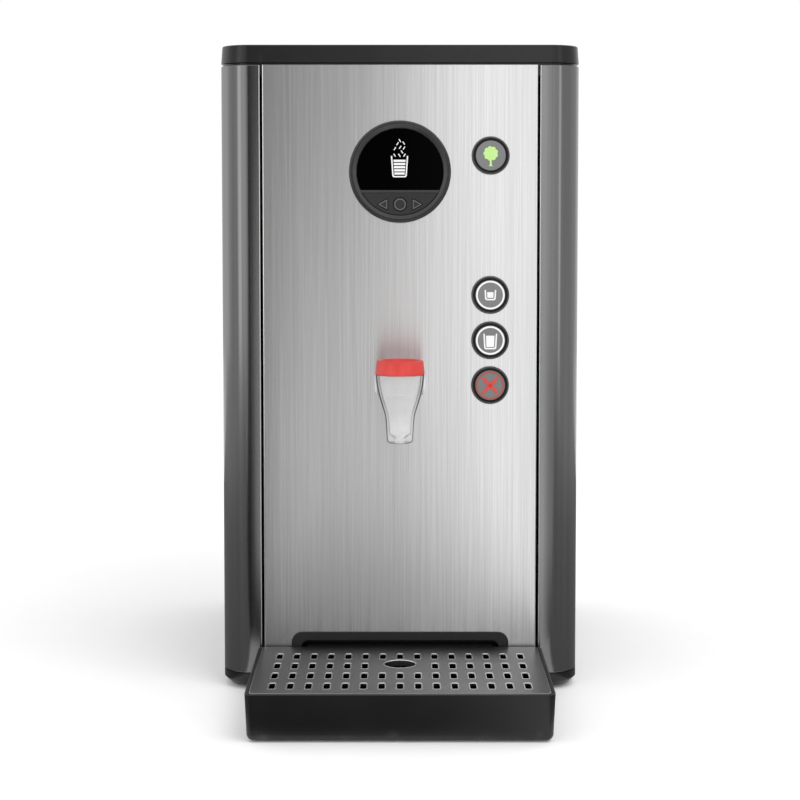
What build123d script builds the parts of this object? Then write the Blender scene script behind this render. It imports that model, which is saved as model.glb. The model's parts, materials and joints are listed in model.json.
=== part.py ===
from build123d import *
import math
import os

# Countertop hot-water dispenser. Millimetres, +Z up, front faces -Y.
# The origin is on the counter, under the middle of the whole machine.

# ---------------------------------------------------------------- driving dimensions
CASE_WIDTH = 235.0
FRONT_Y = -81.0            # outer face of the stainless front panel
REAR_Y = 185.0             # outer face of the rear panel
TOTAL_HEIGHT = 423.0
FRONT_CORNER_R = 20.0
REAR_CORNER_R = 12.0
BASE_BOTTOM_Z = 1.8
BASE_TOP_Z = 10.8
PANEL_BOTTOM_Z = 11.1
PANEL_TOP_Z = 410.0
LID_BOTTOM_Z = 411.4
LID_DRAFT = 4.0            # degrees
SIDE_WALL = 2.0
SHEET = 1.5
PANEL_HALF = 89.4          # half width of the front panel
PROFILE_INNER_X = 90.9     # where each side profile ends beside the panel

TRAY_FRONT_Y = -200.0
TRAY_BACK_Y = -82.4
TRAY_HALF = 92.8
TRAY_TOP_Z = 29.2
TRAY_BOTTOM_Z = 0.6
TRAY_WALL = 2.0
TRAY_DRAFT = 2.6           # degrees
TRAY_LEDGE_Z = 25.0
GRILLE_TOP_Z = 29.7
GRILLE_SHEET = 1.2
TONGUE_HALF = 63.0
TONGUE_BACK_Y = -73.0
SLOT_WIDTH = 4.0
SLOT_LENGTH = 14.0
SLOT_PITCH_X = 11.05
SLOT_PITCH_Y = 23.7
FIRST_ROW = 29.2           # from the front panel to the rearmost row of slots
SLOT_COLUMNS = 15
SLOT_ROWS = 4
DRAIN_ROW = 1              # row, counted from the machine, that the round hole interrupts
DRAIN_HOLE_R = 10.0

BEAD_Y = -77.0             # rolled rear edge of the grille, about which it tips up
BEAD_Z = 28.3
BEAD_R = 1.3

NICHE_HALF = 71.4
NICHE_TOP_Z = 38.8
NICHE_FRAME = 6.6
NICHE_BACK_Y = -66.5

SPOUT_Y = -129.0
SPOUT_CAP_BOTTOM_Z = 213.6
SPOUT_CAP_TOP_Z = 222.4
NOZZLE_TIP_Z = 170.4
NOZZLE_WALL = 1.6
ARM_Z = 206.0
ARM_TUBE_R = 9.0

DISPLAY_Z = 341.0
DISPLAY_R = 33.1
WINDOW_R = 27.2
WINDOW_FLAT_Z = 329.2
CRESCENT_R = 28.0
CRESCENT_TOP_Z = 327.4
KEY_Z = 319.9

BUTTON_X = 58.8
BUTTON_Z = {"eco": 351.5, "small_cup": 261.0, "large_cup": 231.4, "stop": 202.0}
BUTTON_R = 9.7
BUTTON_BEZEL_R = 12.35
BUTTON_SLEEVE_R = 10.4
BUTTON_HOLE_R = 11.6

TANK_X = 0.0
TANK_Y = 80.0
TANK_R = 78.0
TANK_BOTTOM_Z = 90.0
TANK_TOP_Z = 330.0
TANK_WALL = 1.5
TANK_FLANGE_R = 88.0
TANK_LID_Z = 332.0
TANK_LID_THICKNESS = 2.5
INSULATION = 9.5
ELEMENT_HALF = 20.0
PROBE_PLACES = [(-30, 110, 290.0), (30, 110, 270.0)]    # x, y and tip height
SENSOR_PLACE = (0, 45)
THERMOSTAT_PLACE = (-40, 60)
VENT_PLACE = (0, 130)

INLET_X = -60.0
INLET_Z = 45.0
INLET_VALVE_Y = 160.0
INLET_THREAD_R = 13.2      # 3/4 inch pipe thread, outside
GLAND_X = 60.0
GLAND_Z = 45.0
SWITCH_X = 60.0
SWITCH_Z = 78.0
ROCKER_TILT = 8.0
DRAIN_Z = 40.0
DRAIN_R = 6.0
FITTING_END_Y = 200.0      # rear end of the inlet thread
VALVE_Y = -25.0
VALVE_Z = 120.0
HOSE_R = 7.0
HOSE_BORE_R = 4.6
BARB_R = 4.5

FOOT_PLACES = [(-95, -58), (95, -58), (-95, 163), (95, 163)]
TRAY_PAD_PLACES = [(-75, -184), (75, -184), (-75, -98), (75, -98)]
REAR_SCREW_PLACES = [(x, z) for x in (-98, 98) for z in (30, 210, 395)]
LID_SCREW_PLACES = [(-70, 407), (70, 407)]
LOUVRE_COLUMNS = (-48, 48)
LOUVRE_COUNT = 9
LOUVRE_PITCH = 12.0
LOUVRE_FIRST_Z = 255.0
LOUVRE_LENGTH = 70.0
LID_BOLTS = 8

# ---------------------------------------------------------------- shared geometry


def block(x0, x1, y0, y1, z0, z1):
    """A box between two corners."""
    centre = ((x0 + x1) / 2, (y0 + y1) / 2, (z0 + z1) / 2)
    return Pos(*centre) * Box(x1 - x0, y1 - y0, z1 - z0)


def rod_z(x, y, z0, z1, radius):
    """An upright cylinder."""
    return Pos(x, y, (z0 + z1) / 2) * Cylinder(radius, z1 - z0)


def rod_y(x, z, y0, y1, radius):
    """A cylinder that runs front to back."""
    return Pos(x, (y0 + y1) / 2, z) * Rot(90, 0, 0) * Cylinder(radius, y1 - y0)


def rod_x(y, z, x0, x1, radius):
    """A cylinder that runs left to right."""
    return Pos((x0 + x1) / 2, y, z) * Rot(0, 90, 0) * Cylinder(radius, x1 - x0)


def hex_z(x, y, z0, z1, radius):
    """An upright hexagonal bar."""
    return Pos(x, y, z0) * extrude(RegularPolygon(radius, 6), z1 - z0)


def hex_y(x, z, y0, y1, radius):
    """A hexagonal bar that runs front to back."""
    return wall_y(Pos(x, z) * RegularPolygon(radius, 6), y0, y1)


def wall_y(sketch, y0, y1):
    """A flat outline drawn in X and Z, given a thickness in Y."""
    plane = Plane(origin=(0, y1, 0), x_dir=(1, 0, 0), z_dir=(0, -1, 0))
    return extrude(plane * sketch, y1 - y0)


def case_outline(inset):
    """The plan of the case: large front corners, smaller rear ones."""
    depth = REAR_Y - FRONT_Y
    plan = Pos(0, (REAR_Y + FRONT_Y) / 2) * Rectangle(CASE_WIDTH - 2 * inset, depth - 2 * inset)
    corners = plan.vertices().sort_by(Axis.Y)
    plan = fillet(corners[:2], FRONT_CORNER_R - inset)
    corners = plan.vertices().filter_by(lambda v: v.Y > REAR_Y - inset - 0.01)
    return fillet(corners, REAR_CORNER_R - inset)


def case_prism(inset, z0, z1):
    """A solid with the plan of the case."""
    return Pos(0, 0, z0) * extrude(case_outline(inset), z1 - z0)


def arch_outline(half, top, bottom, radius):
    """A doorway shape with rounded upper corners, drawn in X and Z."""
    door = Pos(0, (top + bottom) / 2) * Rectangle(2 * half, top - bottom)
    upper = door.vertices().sort_by(Axis.Y)[-2:]
    return fillet(upper, radius)


def slab_y(x0, x1, z0, z1, y0, y1, radius):
    """A plate facing front, with four rounded corners."""
    face = Pos((x0 + x1) / 2, (z0 + z1) / 2) * RectangleRounded(x1 - x0, z1 - z0, radius)
    return wall_y(face, y0, y1)


def tube_along(points, radius, bend, bore=0.0):
    """A round tube along straight runs joined by arcs."""
    path = FilletPolyline(*points, radius=bend)
    start = Plane(origin=path @ 0, z_dir=path % 0)
    tube = sweep(start * Circle(radius), path=path)
    if bore:
        tube = tube - sweep(start * Circle(bore), path=path)
    return tube


def revolved_z(outline, x, y):
    """A profile drawn as radius and height, turned about an upright axis."""
    return Pos(x, y, 0) * revolve(Plane.XZ * outline, Axis.Z)


def revolved_y(outline, x, z):
    """A profile drawn as radius and depth, turned about a front-to-back axis."""
    turned = revolve(Plane.XZ * outline, Axis.Z)
    return Pos(x, 0, z) * Rot(-90, 0, 0) * turned


# ---------------------------------------------------------------- case


def base_chassis():
    """Moulded floor with a thick bevelled edge and a rim that locates the panels."""
    floor = case_prism(0, BASE_BOTTOM_Z, BASE_TOP_Z)
    floor = chamfer(floor.edges().group_by(Axis.Z)[0], 4.0)
    floor -= case_prism(6.0, BASE_BOTTOM_Z + 3, BASE_TOP_Z + 1)
    rim = case_prism(2.4, BASE_TOP_Z - 2, BASE_TOP_Z + 6.5) - case_prism(6.4, 0, 40)
    floor += rim
    for x, y in FOOT_PLACES:
        floor -= rod_z(x, y, 0, 10, 3.1)
    for x in (-40, -20, 0, 20, 40):
        floor -= block(x - 4, x + 4, -50, -20, 0, 10)
    return floor


def rubber_feet():
    """Four push-in rubber feet: a pad, a stem and a retaining head."""
    feet = []
    for x, y in FOOT_PLACES:
        pad = rod_z(x, y, 0, BASE_BOTTOM_Z, 9.0)
        pad = fillet(pad.edges().group_by(Axis.Z)[0], 1.0)
        stem = rod_z(x, y, BASE_BOTTOM_Z - 0.5, BASE_BOTTOM_Z + 3.5, 3.0)
        head = rod_z(x, y, BASE_BOTTOM_Z + 3, BASE_BOTTOM_Z + 5, 4.2)
        feet.append(pad + stem + head)
    return Compound(children=feet)


def side_panel(side):
    """Anodised extrusion that wraps the front and rear corners, with screw channels inside."""
    shell = case_prism(0, PANEL_BOTTOM_Z, PANEL_TOP_Z) - case_prism(SIDE_WALL, 0, 500)
    half = block(PROFILE_INNER_X, 130, FRONT_Y - 10, 20, 0, 500)
    half += block(105.2, 130, 10, REAR_Y + 10, 0, 500)
    panel = shell & half
    panel += block(PROFILE_INNER_X, PROFILE_INNER_X + SIDE_WALL, FRONT_Y, FRONT_Y + 9, 22, 402)
    for y in (-40, 60, 150):
        channel = rod_z(111.5, y, 22, 402, 4.2) - rod_z(111.5, y, 0, 500, 1.9)
        channel -= block(100, 111.5, y - 1.2, y + 1.2, 0, 500)
        panel += channel - block(CASE_WIDTH / 2 - 0.5, 130, -200, 200, 0, 500)
    return panel if side > 0 else mirror(panel, about=Plane.YZ)


def front_panel():
    """Brushed stainless sheet with folded side flanges, a doorway below and holes for the controls."""
    sheet = block(-PANEL_HALF, PANEL_HALF, FRONT_Y, FRONT_Y + SHEET, PANEL_BOTTOM_Z, PANEL_TOP_Z)
    for side in (-1, 1):
        inner, outer = sorted((side * (PANEL_HALF - SHEET), side * PANEL_HALF))
        sheet += block(inner, outer, FRONT_Y, FRONT_Y + 14, 22, 402)
    long_edges = sheet.edges().filter_by(Axis.Z).group_by(Axis.Y)[0]
    sheet = fillet(long_edges, 0.8)
    door = arch_outline(NICHE_HALF - 1.9, NICHE_TOP_Z - 1.2, 0, 6)
    sheet -= wall_y(door, FRONT_Y - 1, FRONT_Y + 20)
    sheet -= rod_y(0, DISPLAY_Z, FRONT_Y - 1, FRONT_Y + 3, 31.6)
    for z in BUTTON_Z.values():
        sheet -= rod_y(BUTTON_X, z, FRONT_Y - 1, FRONT_Y + 3, BUTTON_HOLE_R)
    sheet -= rod_y(0, ARM_Z, FRONT_Y - 1, FRONT_Y + 3, ARM_TUBE_R + 0.2)
    return sheet


def louvre_hood(x, z):
    """A pressed-out hood over one vent slot."""
    plane = Plane(origin=(x - LOUVRE_LENGTH / 2, 0, 0), x_dir=(0, 1, 0), z_dir=(1, 0, 0))
    top = (REAR_Y - 0.2, z + 4.5)
    lip = (REAR_Y + 2.8, z - 1.5)
    profile = Polyline(top, lip, (REAR_Y + 1.6, z - 1.5), (REAR_Y - 0.2, z + 2.4), close=True)
    hood = extrude(plane * make_face(profile), LOUVRE_LENGTH)
    for end in (x - LOUVRE_LENGTH / 2, x + LOUVRE_LENGTH / 2 - 1):
        cheek = Polyline(top, lip, (REAR_Y - 0.2, z - 1.5), close=True)
        cheek_plane = Plane(origin=(end, 0, 0), x_dir=(0, 1, 0), z_dir=(1, 0, 0))
        hood += extrude(cheek_plane * make_face(cheek), 1)
    return hood


def rear_panel():
    """Stainless rear sheet with louvres and openings for water, drain, switch and cable."""
    sheet = block(-104.8, 104.8, REAR_Y - SHEET, REAR_Y, PANEL_BOTTOM_Z, PANEL_TOP_Z)
    for x in LOUVRE_COLUMNS:
        for row in range(LOUVRE_COUNT):
            z = LOUVRE_FIRST_Z + row * LOUVRE_PITCH
            half = LOUVRE_LENGTH / 2 - 1
            sheet -= block(x - half, x + half, REAR_Y - 3, REAR_Y + 1, z - 1.5, z + 2.4)
            sheet += louvre_hood(x, z)
    sheet -= rod_y(INLET_X, INLET_Z, REAR_Y - 3, REAR_Y + 1, INLET_THREAD_R + 0.8)
    sheet -= rod_y(GLAND_X, GLAND_Z, REAR_Y - 3, REAR_Y + 1, 8.1)
    sheet -= rod_y(0, DRAIN_Z, REAR_Y - 3, REAR_Y + 1, DRAIN_R + 1.1)
    sheet -= block(SWITCH_X - 13.7, SWITCH_X + 13.7, REAR_Y - 3, REAR_Y + 1, SWITCH_Z - 6.2, SWITCH_Z + 6.2)
    for x, z in REAR_SCREW_PLACES + LID_SCREW_PLACES:
        sheet -= rod_y(x, z, REAR_Y - 3, REAR_Y + 1, 1.8)
    return sheet


def top_lid():
    """Moulded lid: a shallow shell with a skirt that drops inside the panels."""
    roof = Pos(0, 0, LID_BOTTOM_Z) * extrude(case_outline(0), TOTAL_HEIGHT - LID_BOTTOM_Z, taper=LID_DRAFT)
    roof = fillet(roof.edges().group_by(Axis.Z)[-1], 0.9)
    roof -= case_prism(3.0, 0, TOTAL_HEIGHT - 3)
    skirt = case_prism(2.4, 403.2, TOTAL_HEIGHT - 2.5) - case_prism(4.6, 0, TOTAL_HEIGHT - 2.5)
    roof += skirt
    for x in (-60, 0, 60):
        roof += block(x - 0.8, x + 0.8, FRONT_Y + 3, REAR_Y - 3, 417, TOTAL_HEIGHT - 2.5)
    for x, z in LID_SCREW_PLACES:
        roof -= rod_y(x, z, REAR_Y - 10, REAR_Y + 1, 1.5)
    return roof


def housing_screws():
    """Pan-head screws that hold the rear panel and the lid."""
    screws = []
    for x, z in REAR_SCREW_PLACES + LID_SCREW_PLACES:
        head = rod_y(x, z, REAR_Y, REAR_Y + 2.2, 3.4)
        head = fillet(head.edges().sort_by(Axis.Y)[-1], 1.2)
        head -= rod_y(x, z, REAR_Y + 1.2, REAR_Y + 3, 1.2)
        shank = rod_y(x, z, REAR_Y - 7, REAR_Y + 0.5, 1.4)
        screws.append(head + shank)
    return Compound(children=screws)


def niche_bezel():
    """Black frame and shallow box that receives the tongue of the tray."""
    outer = arch_outline(NICHE_HALF, NICHE_TOP_Z, PANEL_BOTTOM_Z + 0.4, 7)
    opening_top = NICHE_TOP_Z - NICHE_FRAME + 1
    opening_half = NICHE_HALF - NICHE_FRAME
    inner = arch_outline(opening_half, opening_top, 0, 4.5)
    frame = wall_y(outer, FRONT_Y - 1.0, FRONT_Y) - wall_y(inner, FRONT_Y - 5, FRONT_Y + 5)
    pocket_outer = arch_outline(opening_half + 1.5, opening_top + 1.5, 20.6, 6)
    pocket_inner = arch_outline(opening_half, opening_top, 22.1, 4.5)
    pocket = wall_y(pocket_outer, FRONT_Y - 1.0, NICHE_BACK_Y)
    pocket -= wall_y(pocket_inner, FRONT_Y - 5, NICHE_BACK_Y - SHEET)
    return frame + pocket


# ---------------------------------------------------------------- drip tray and grille


def tongue_plan(half, back, front, corner):
    """Plan of the tongue at the back of the tray."""
    plan = Pos(0, (back + front) / 2) * Rectangle(2 * half, back - front)
    rear = plan.vertices().sort_by(Axis.Y)[-2:]
    return fillet(rear, corner)


def tray_plan(inset, corner):
    """Plan of the tray, drawn in from its upper edge."""
    front = TRAY_FRONT_Y + inset
    back = TRAY_BACK_Y - inset
    return Pos(0, (front + back) / 2) * RectangleRounded(2 * (TRAY_HALF - inset), back - front, corner)


def drip_tray():
    """Deep moulded tray: tapered sides, a ledge for the grille and a tongue that enters the case."""
    top = Pos(0, 0, TRAY_TOP_Z) * tray_plan(0, 5.0)
    body = extrude(top, TRAY_TOP_Z - TRAY_BOTTOM_Z, dir=(0, 0, -1), taper=TRAY_DRAFT)
    body = fillet(body.edges().group_by(Axis.Z)[0], 4.2)
    tongue = tongue_plan(TONGUE_HALF, TONGUE_BACK_Y, TRAY_BACK_Y - 3, 4.5)
    body += Pos(0, 0, 22.8) * extrude(tongue, TRAY_TOP_Z - 22.8)
    upper = tray_plan(TRAY_WALL, 3.2)
    body -= Pos(0, 0, TRAY_LEDGE_Z) * extrude(upper, 10)
    shelf = tongue_plan(TONGUE_HALF - TRAY_WALL, TONGUE_BACK_Y - TRAY_WALL, TRAY_BACK_Y - 5, 3.0)
    body -= Pos(0, 0, 24.6) * extrude(shelf, 10)
    mouth = Pos(0, 0, TRAY_LEDGE_Z + 1) * tray_plan(4.0, 3.0)
    well = extrude(mouth, TRAY_LEDGE_Z - 2.5, dir=(0, 0, -1), taper=TRAY_DRAFT)
    well = fillet(well.edges().group_by(Axis.Z)[0], 3.0)
    return body - well


def slot_places():
    """Centres of the slots, leaving room for the round hole."""
    places = []
    for row in range(SLOT_ROWS):
        y = FRONT_Y - FIRST_ROW - row * SLOT_PITCH_Y
        for column in range(SLOT_COLUMNS):
            step = column - (SLOT_COLUMNS - 1) // 2
            if row == DRAIN_ROW and abs(step) <= 1:
                continue
            places.append((step * SLOT_PITCH_X, y))
    return places


def drip_grille():
    """Stainless grille: slotted sheet with turned-down edges, a collared hole and a rolled bead behind."""
    clear = TRAY_WALL + 0.4
    sheet = extrude(tray_plan(clear, 3.0), GRILLE_SHEET)
    tongue = tongue_plan(TONGUE_HALF - clear, TONGUE_BACK_Y - clear, TRAY_BACK_Y - 6, 3.0)
    sheet += extrude(tongue, GRILLE_SHEET)
    slot = extrude(RectangleRounded(SLOT_WIDTH, SLOT_LENGTH, 1.3), 4)
    slots = [Pos(x, y, -1) * slot for x, y in slot_places()]
    sheet -= slots
    grille = Pos(0, 0, GRILLE_TOP_Z - GRILLE_SHEET) * sheet
    drop = GRILLE_TOP_Z - TRAY_LEDGE_Z - 0.3
    edge = extrude(tray_plan(clear, 3.0), drop) - extrude(tray_plan(clear + GRILLE_SHEET, 1.8), 20)
    edge -= block(-TONGUE_HALF - 0.6, TONGUE_HALF + 0.6, -90, -70, -1, drop - GRILLE_SHEET)
    grille += Pos(0, 0, GRILLE_TOP_Z - drop) * edge
    grille += rod_z(0, SPOUT_Y, GRILLE_TOP_Z - 4, GRILLE_TOP_Z, DRAIN_HOLE_R + 1.2)
    grille -= rod_z(0, SPOUT_Y, 0, 40, DRAIN_HOLE_R)
    grille = fillet(grille.faces().sort_by(Axis.Z)[-1].outer_wire().edges(), 0.7)
    return grille + rod_x(BEAD_Y, BEAD_Z, -56, 56, BEAD_R)


def tray_feet():
    """Four thin pads under the tray."""
    return Compound(children=[rod_z(x, y, 0, TRAY_BOTTOM_Z, 6.0) for x, y in TRAY_PAD_PLACES])


# ---------------------------------------------------------------- display


def display_bezel():
    """Round stepped ring that clamps in the panel, with a bar across it between window and keys."""
    face = FRONT_Y
    profile = Polyline(
        (28.2, face + 9), (28.2, face - 2.4), (31.0, face - 3.4), (31.5, face - 2.6),
        (DISPLAY_R, face - 1.2), (DISPLAY_R, face), (31.3, face), (31.3, face + 9), close=True)
    ring = revolved_y(make_face(profile), 0, DISPLAY_Z)
    seat = rod_y(0, DISPLAY_Z, face - 0.6, face + 9, 28.4) - rod_y(0, DISPLAY_Z, face - 5, face + 12, 26.0)
    seat -= block(-40, 40, face - 5, face + 12, 300, CRESCENT_TOP_Z)
    bar = rod_y(0, DISPLAY_Z, face - 2.2, face + 9, 28.4)
    bar &= block(-40, 40, face - 5, face + 12, CRESCENT_TOP_Z + 0.1, WINDOW_FLAT_Z - 0.1)
    return ring + seat + bar


def display_window():
    """Glossy black window: a disc cut off flat at the bottom."""
    disc = rod_y(0, DISPLAY_Z, FRONT_Y - 1.6, FRONT_Y - 0.6, 28.0)
    return disc & block(-40, 40, -200, 0, WINDOW_FLAT_Z, 400)


def key_outlines(grow):
    """The three key shapes: two arrow heads and a disc between them."""
    shapes = {"key_ok": Pos(0, KEY_Z) * Circle(4.3 + grow)}
    for name, side in (("key_left", -1), ("key_right", 1)):
        arrow = Polyline(
            (side * 8.1, KEY_Z - 3.7), (side * 8.1, KEY_Z + 3.7), (side * 14.6, KEY_Z), close=True)
        shapes[name] = offset(make_face(arrow), grow) if grow else make_face(arrow)
    return shapes


def keypad_crescent():
    """Fixed moulding under the window, pierced for the three keys."""
    plate = rod_y(0, DISPLAY_Z, FRONT_Y - 2.0, FRONT_Y + 0.4, CRESCENT_R)
    plate &= block(-40, 40, -200, 0, 300, CRESCENT_TOP_Z)
    for outline in key_outlines(0.2).values():
        plate -= wall_y(outline, FRONT_Y - 5, FRONT_Y + 2)
    return plate


def display_keys():
    """Three small push keys, each with a retaining flange and a stem."""
    keys = {}
    wide = key_outlines(0.8)
    for name, outline in key_outlines(0).items():
        centre = {"key_left": -10.2, "key_ok": 0.0, "key_right": 10.2}[name]
        key = wall_y(outline, FRONT_Y - 2.3, FRONT_Y + 1.5)
        key += wall_y(wide[name], FRONT_Y + 0.7, FRONT_Y + 1.5)
        key += rod_y(centre, KEY_Z, FRONT_Y + 1.4, FRONT_Y + 6.3, 1.2)
        keys[name] = key
    return keys


def display_board():
    """Circuit board with the display module and three key switches."""
    board = slab_y(-30, 30, 309, 373, FRONT_Y + 10, FRONT_Y + 11.6, 3)
    board += slab_y(-17, 17, 331, 357, FRONT_Y + 1, FRONT_Y + 10.5, 1)
    for x in (-10.2, 0.0, 10.2):
        board += block(x - 2.6, x + 2.6, FRONT_Y + 7, FRONT_Y + 10.5, KEY_Z - 2.6, KEY_Z + 2.6)
    board += block(12, 26, FRONT_Y + 11, FRONT_Y + 17, 345, 362)
    return board


# ---------------------------------------------------------------- push buttons


def button_bezel(z):
    """Ring and sleeve pressed into the panel around one button."""
    face = FRONT_Y
    profile = Polyline(
        (BUTTON_SLEEVE_R, face + 8.5), (BUTTON_SLEEVE_R, face - 0.9), (BUTTON_SLEEVE_R + 0.5, face - 1.6),
        (BUTTON_BEZEL_R - 0.5, face - 1.6), (BUTTON_BEZEL_R, face - 1.1), (BUTTON_BEZEL_R, face),
        (BUTTON_HOLE_R - 0.1, face), (BUTTON_HOLE_R - 0.1, face + 8.5), close=True)
    return revolved_y(make_face(profile), BUTTON_X, z)


def push_button(z):
    """Round button: a slightly dished face, a retaining flange and a stem."""
    body = rod_y(BUTTON_X, z, FRONT_Y - 2.0, FRONT_Y + 9.2, BUTTON_R)
    body = fillet(body.edges().sort_by(Axis.Y)[0], 0.5)
    flange = rod_y(BUTTON_X, z, FRONT_Y + 9.0, FRONT_Y + 10.4, 11.2)
    stem = rod_y(BUTTON_X, z, FRONT_Y + 10.3, FRONT_Y + 14.1, 2.0)
    return body + flange + stem


def button_board():
    """Tall narrow circuit board with a microswitch soldered on behind each button."""
    board = slab_y(43, 75, 188, 368, FRONT_Y + 23, FRONT_Y + 24.6, 3)
    board += block(50, 68, FRONT_Y + 24, FRONT_Y + 30, 300, 312)
    for z in BUTTON_Z.values():
        board += block(BUTTON_X - 6, BUTTON_X + 6, FRONT_Y + 17.5, FRONT_Y + 23.5, z - 6, z + 6)
        board += rod_y(BUTTON_X, z, FRONT_Y + 16, FRONT_Y + 18, 2.0)
    return board


# ---------------------------------------------------------------- spout


def nozzle_profile(shrink):
    """Outside of the nozzle as radius and height, drawn in by shrink."""
    bowl = (15.3 - shrink, SPOUT_CAP_BOTTOM_Z - 0.2)
    shoulder = (13.1 - shrink, 199.8)
    waist = (9.3 - shrink, 187.3)
    neck = (8.4 - shrink, 176.0)
    return Spline(bowl, shoulder, waist, neck, tangents=[(-1, -6), (-0.5, -10)])


def spout_nozzle():
    """Clear conical nozzle with a thick rounded tip and a round outlet."""
    outside = nozzle_profile(0)
    outer = outside + Polyline(outside @ 1, (8.2, 173.4), (6.6, NOZZLE_TIP_Z), (0, NOZZLE_TIP_Z),
                               (0, SPOUT_CAP_BOTTOM_Z - 0.2), outside @ 0)
    body = revolved_z(make_face(outer), 0, SPOUT_Y)
    inside = nozzle_profile(NOZZLE_WALL)
    inner = inside + Polyline(inside @ 1, (3.4, 174.6), (3.4, 150), (0, 150),
                              (0, 230), ((inside @ 0).X, 230), inside @ 0)
    return body - revolved_z(make_face(inner), 0, SPOUT_Y)


def spout_arm():
    """Moulded arm: cradle behind the nozzle, head above it, threaded tube through the panel."""
    cradle = Pos(0, 205.0) * Rectangle(32, 14.0)
    cradle = fillet(cradle.vertices().sort_by(Axis.Y)[:2], 6.5)
    arm = wall_y(cradle, -123, FRONT_Y - 0.8)
    arm += block(-11, 11, SPOUT_Y, FRONT_Y - 0.8, 206, 217)
    arm -= rod_z(0, SPOUT_Y, 190, SPOUT_CAP_BOTTOM_Z, 15.7)
    arm += rod_z(0, SPOUT_Y, SPOUT_CAP_BOTTOM_Z, 217, 12.6)
    arm += rod_y(0, ARM_Z, FRONT_Y - 2, -62, ARM_TUBE_R)
    arm += rod_z(0, -65, 186, ARM_Z, BARB_R)
    arm -= rod_y(0, 215.2, SPOUT_Y, -92, 1.3)
    arm -= rod_z(0, SPOUT_Y, 200, 215.2, 3.0)
    arm -= rod_z(0, -92, ARM_Z, 215.4, 1.3)
    arm -= rod_y(0, ARM_Z, -93, -66, 2.6)
    arm -= rod_z(0, -65, 180, ARM_Z, 2.6)
    return arm


def spout_cap():
    """Red push-on cap with a dished top and a slot at the back for the arm."""
    profile = Polyline(
        (0, SPOUT_CAP_TOP_Z - 2.0), (11.6, SPOUT_CAP_TOP_Z - 2.0), (12.6, SPOUT_CAP_TOP_Z),
        (14.2, SPOUT_CAP_TOP_Z), (14.8, SPOUT_CAP_TOP_Z - 0.7), (15.5, SPOUT_CAP_BOTTOM_Z),
        (13.4, SPOUT_CAP_BOTTOM_Z), (13.0, SPOUT_CAP_TOP_Z - 4.4), (0, SPOUT_CAP_TOP_Z - 4.4), close=True)
    cap = revolved_z(make_face(profile), 0, SPOUT_Y)
    return cap - block(-11.4, 11.4, SPOUT_Y, -100, SPOUT_CAP_BOTTOM_Z - 1, 217.4)


def spout_gasket():
    """Flat seal between the arm and the panel."""
    seal = Pos(0, 205.2) * Rectangle(30, 14.4)
    seal = fillet(seal.vertices(), 5.0)
    seal = wall_y(seal, FRONT_Y - 0.8, FRONT_Y)
    hub = rod_y(0, ARM_Z, FRONT_Y - 0.8, FRONT_Y, 12.0)
    return seal + hub - rod_y(0, ARM_Z, FRONT_Y - 2, FRONT_Y + 2, ARM_TUBE_R + 0.1)


def spout_nut():
    """Hexagonal nut that pulls the arm against the panel from inside."""
    nut = hex_y(0, ARM_Z, FRONT_Y + SHEET, FRONT_Y + SHEET + 5, 14.0)
    return nut - rod_y(0, ARM_Z, FRONT_Y, FRONT_Y + 12, ARM_TUBE_R + 0.05)


# ---------------------------------------------------------------- boiler


def boiler_tank():
    """Stainless tank with a bolting flange, an outlet at the front and an inlet below."""
    tank = rod_z(TANK_X, TANK_Y, TANK_BOTTOM_Z, TANK_TOP_Z, TANK_R)
    tank = fillet(tank.edges().group_by(Axis.Z)[0], 8)
    tank += rod_z(TANK_X, TANK_Y, TANK_TOP_Z - 1.5, TANK_TOP_Z, TANK_FLANGE_R)
    tank += rod_y(TANK_X, VALVE_Z, VALVE_Y + 15, TANK_Y - TANK_R + 2, 6.0)
    tank += rod_z(TANK_X, TANK_Y, TANK_BOTTOM_Z - 13, TANK_BOTTOM_Z + 1, BARB_R)
    inside = rod_z(TANK_X, TANK_Y, TANK_BOTTOM_Z + TANK_WALL, TANK_TOP_Z + 5, TANK_R - TANK_WALL)
    tank -= fillet(inside.edges().group_by(Axis.Z)[0], 8 - TANK_WALL)
    tank -= rod_y(TANK_X, VALVE_Z, VALVE_Y, TANK_Y - TANK_R + 5, 4.0)
    tank -= rod_z(TANK_X, TANK_Y, TANK_BOTTOM_Z - 20, TANK_BOTTOM_Z + 5, 2.8)
    for place in bolt_places():
        tank -= Pos(place[0], place[1], TANK_TOP_Z) * Cylinder(2.1, 10)
    return tank


def bolt_places():
    """Plan centres of the lid bolts."""
    places = []
    for index in range(LID_BOLTS):
        angle = math.tau * (index + 0.5) / LID_BOLTS
        reach = (TANK_R + TANK_FLANGE_R) / 2
        places.append((TANK_X + reach * math.cos(angle), TANK_Y + reach * math.sin(angle)))
    return places


def boiler_lid():
    """Flat tank lid, pierced for the element, probes, sensor and vent."""
    lid = rod_z(TANK_X, TANK_Y, TANK_LID_Z, TANK_LID_Z + TANK_LID_THICKNESS, TANK_FLANGE_R)
    for side in (-1, 1):
        lid -= rod_z(side * ELEMENT_HALF, TANK_Y, 300, 360, 4.4)
    for x, y, _ in PROBE_PLACES:
        lid -= rod_z(x, y, 300, 360, 4.1)
    lid -= rod_z(*SENSOR_PLACE, 300, 360, 3.1)
    lid -= rod_z(*VENT_PLACE, 300, 360, 4.1)
    for x, y in bolt_places():
        lid -= rod_z(x, y, 300, 360, 2.1)
    return lid


def boiler_gasket():
    """Silicone ring between tank flange and lid."""
    ring = rod_z(TANK_X, TANK_Y, TANK_TOP_Z, TANK_LID_Z, TANK_FLANGE_R)
    ring -= rod_z(TANK_X, TANK_Y, 0, 500, TANK_R - TANK_WALL)
    for x, y in bolt_places():
        ring -= rod_z(x, y, 300, 360, 2.1)
    return ring


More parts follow.
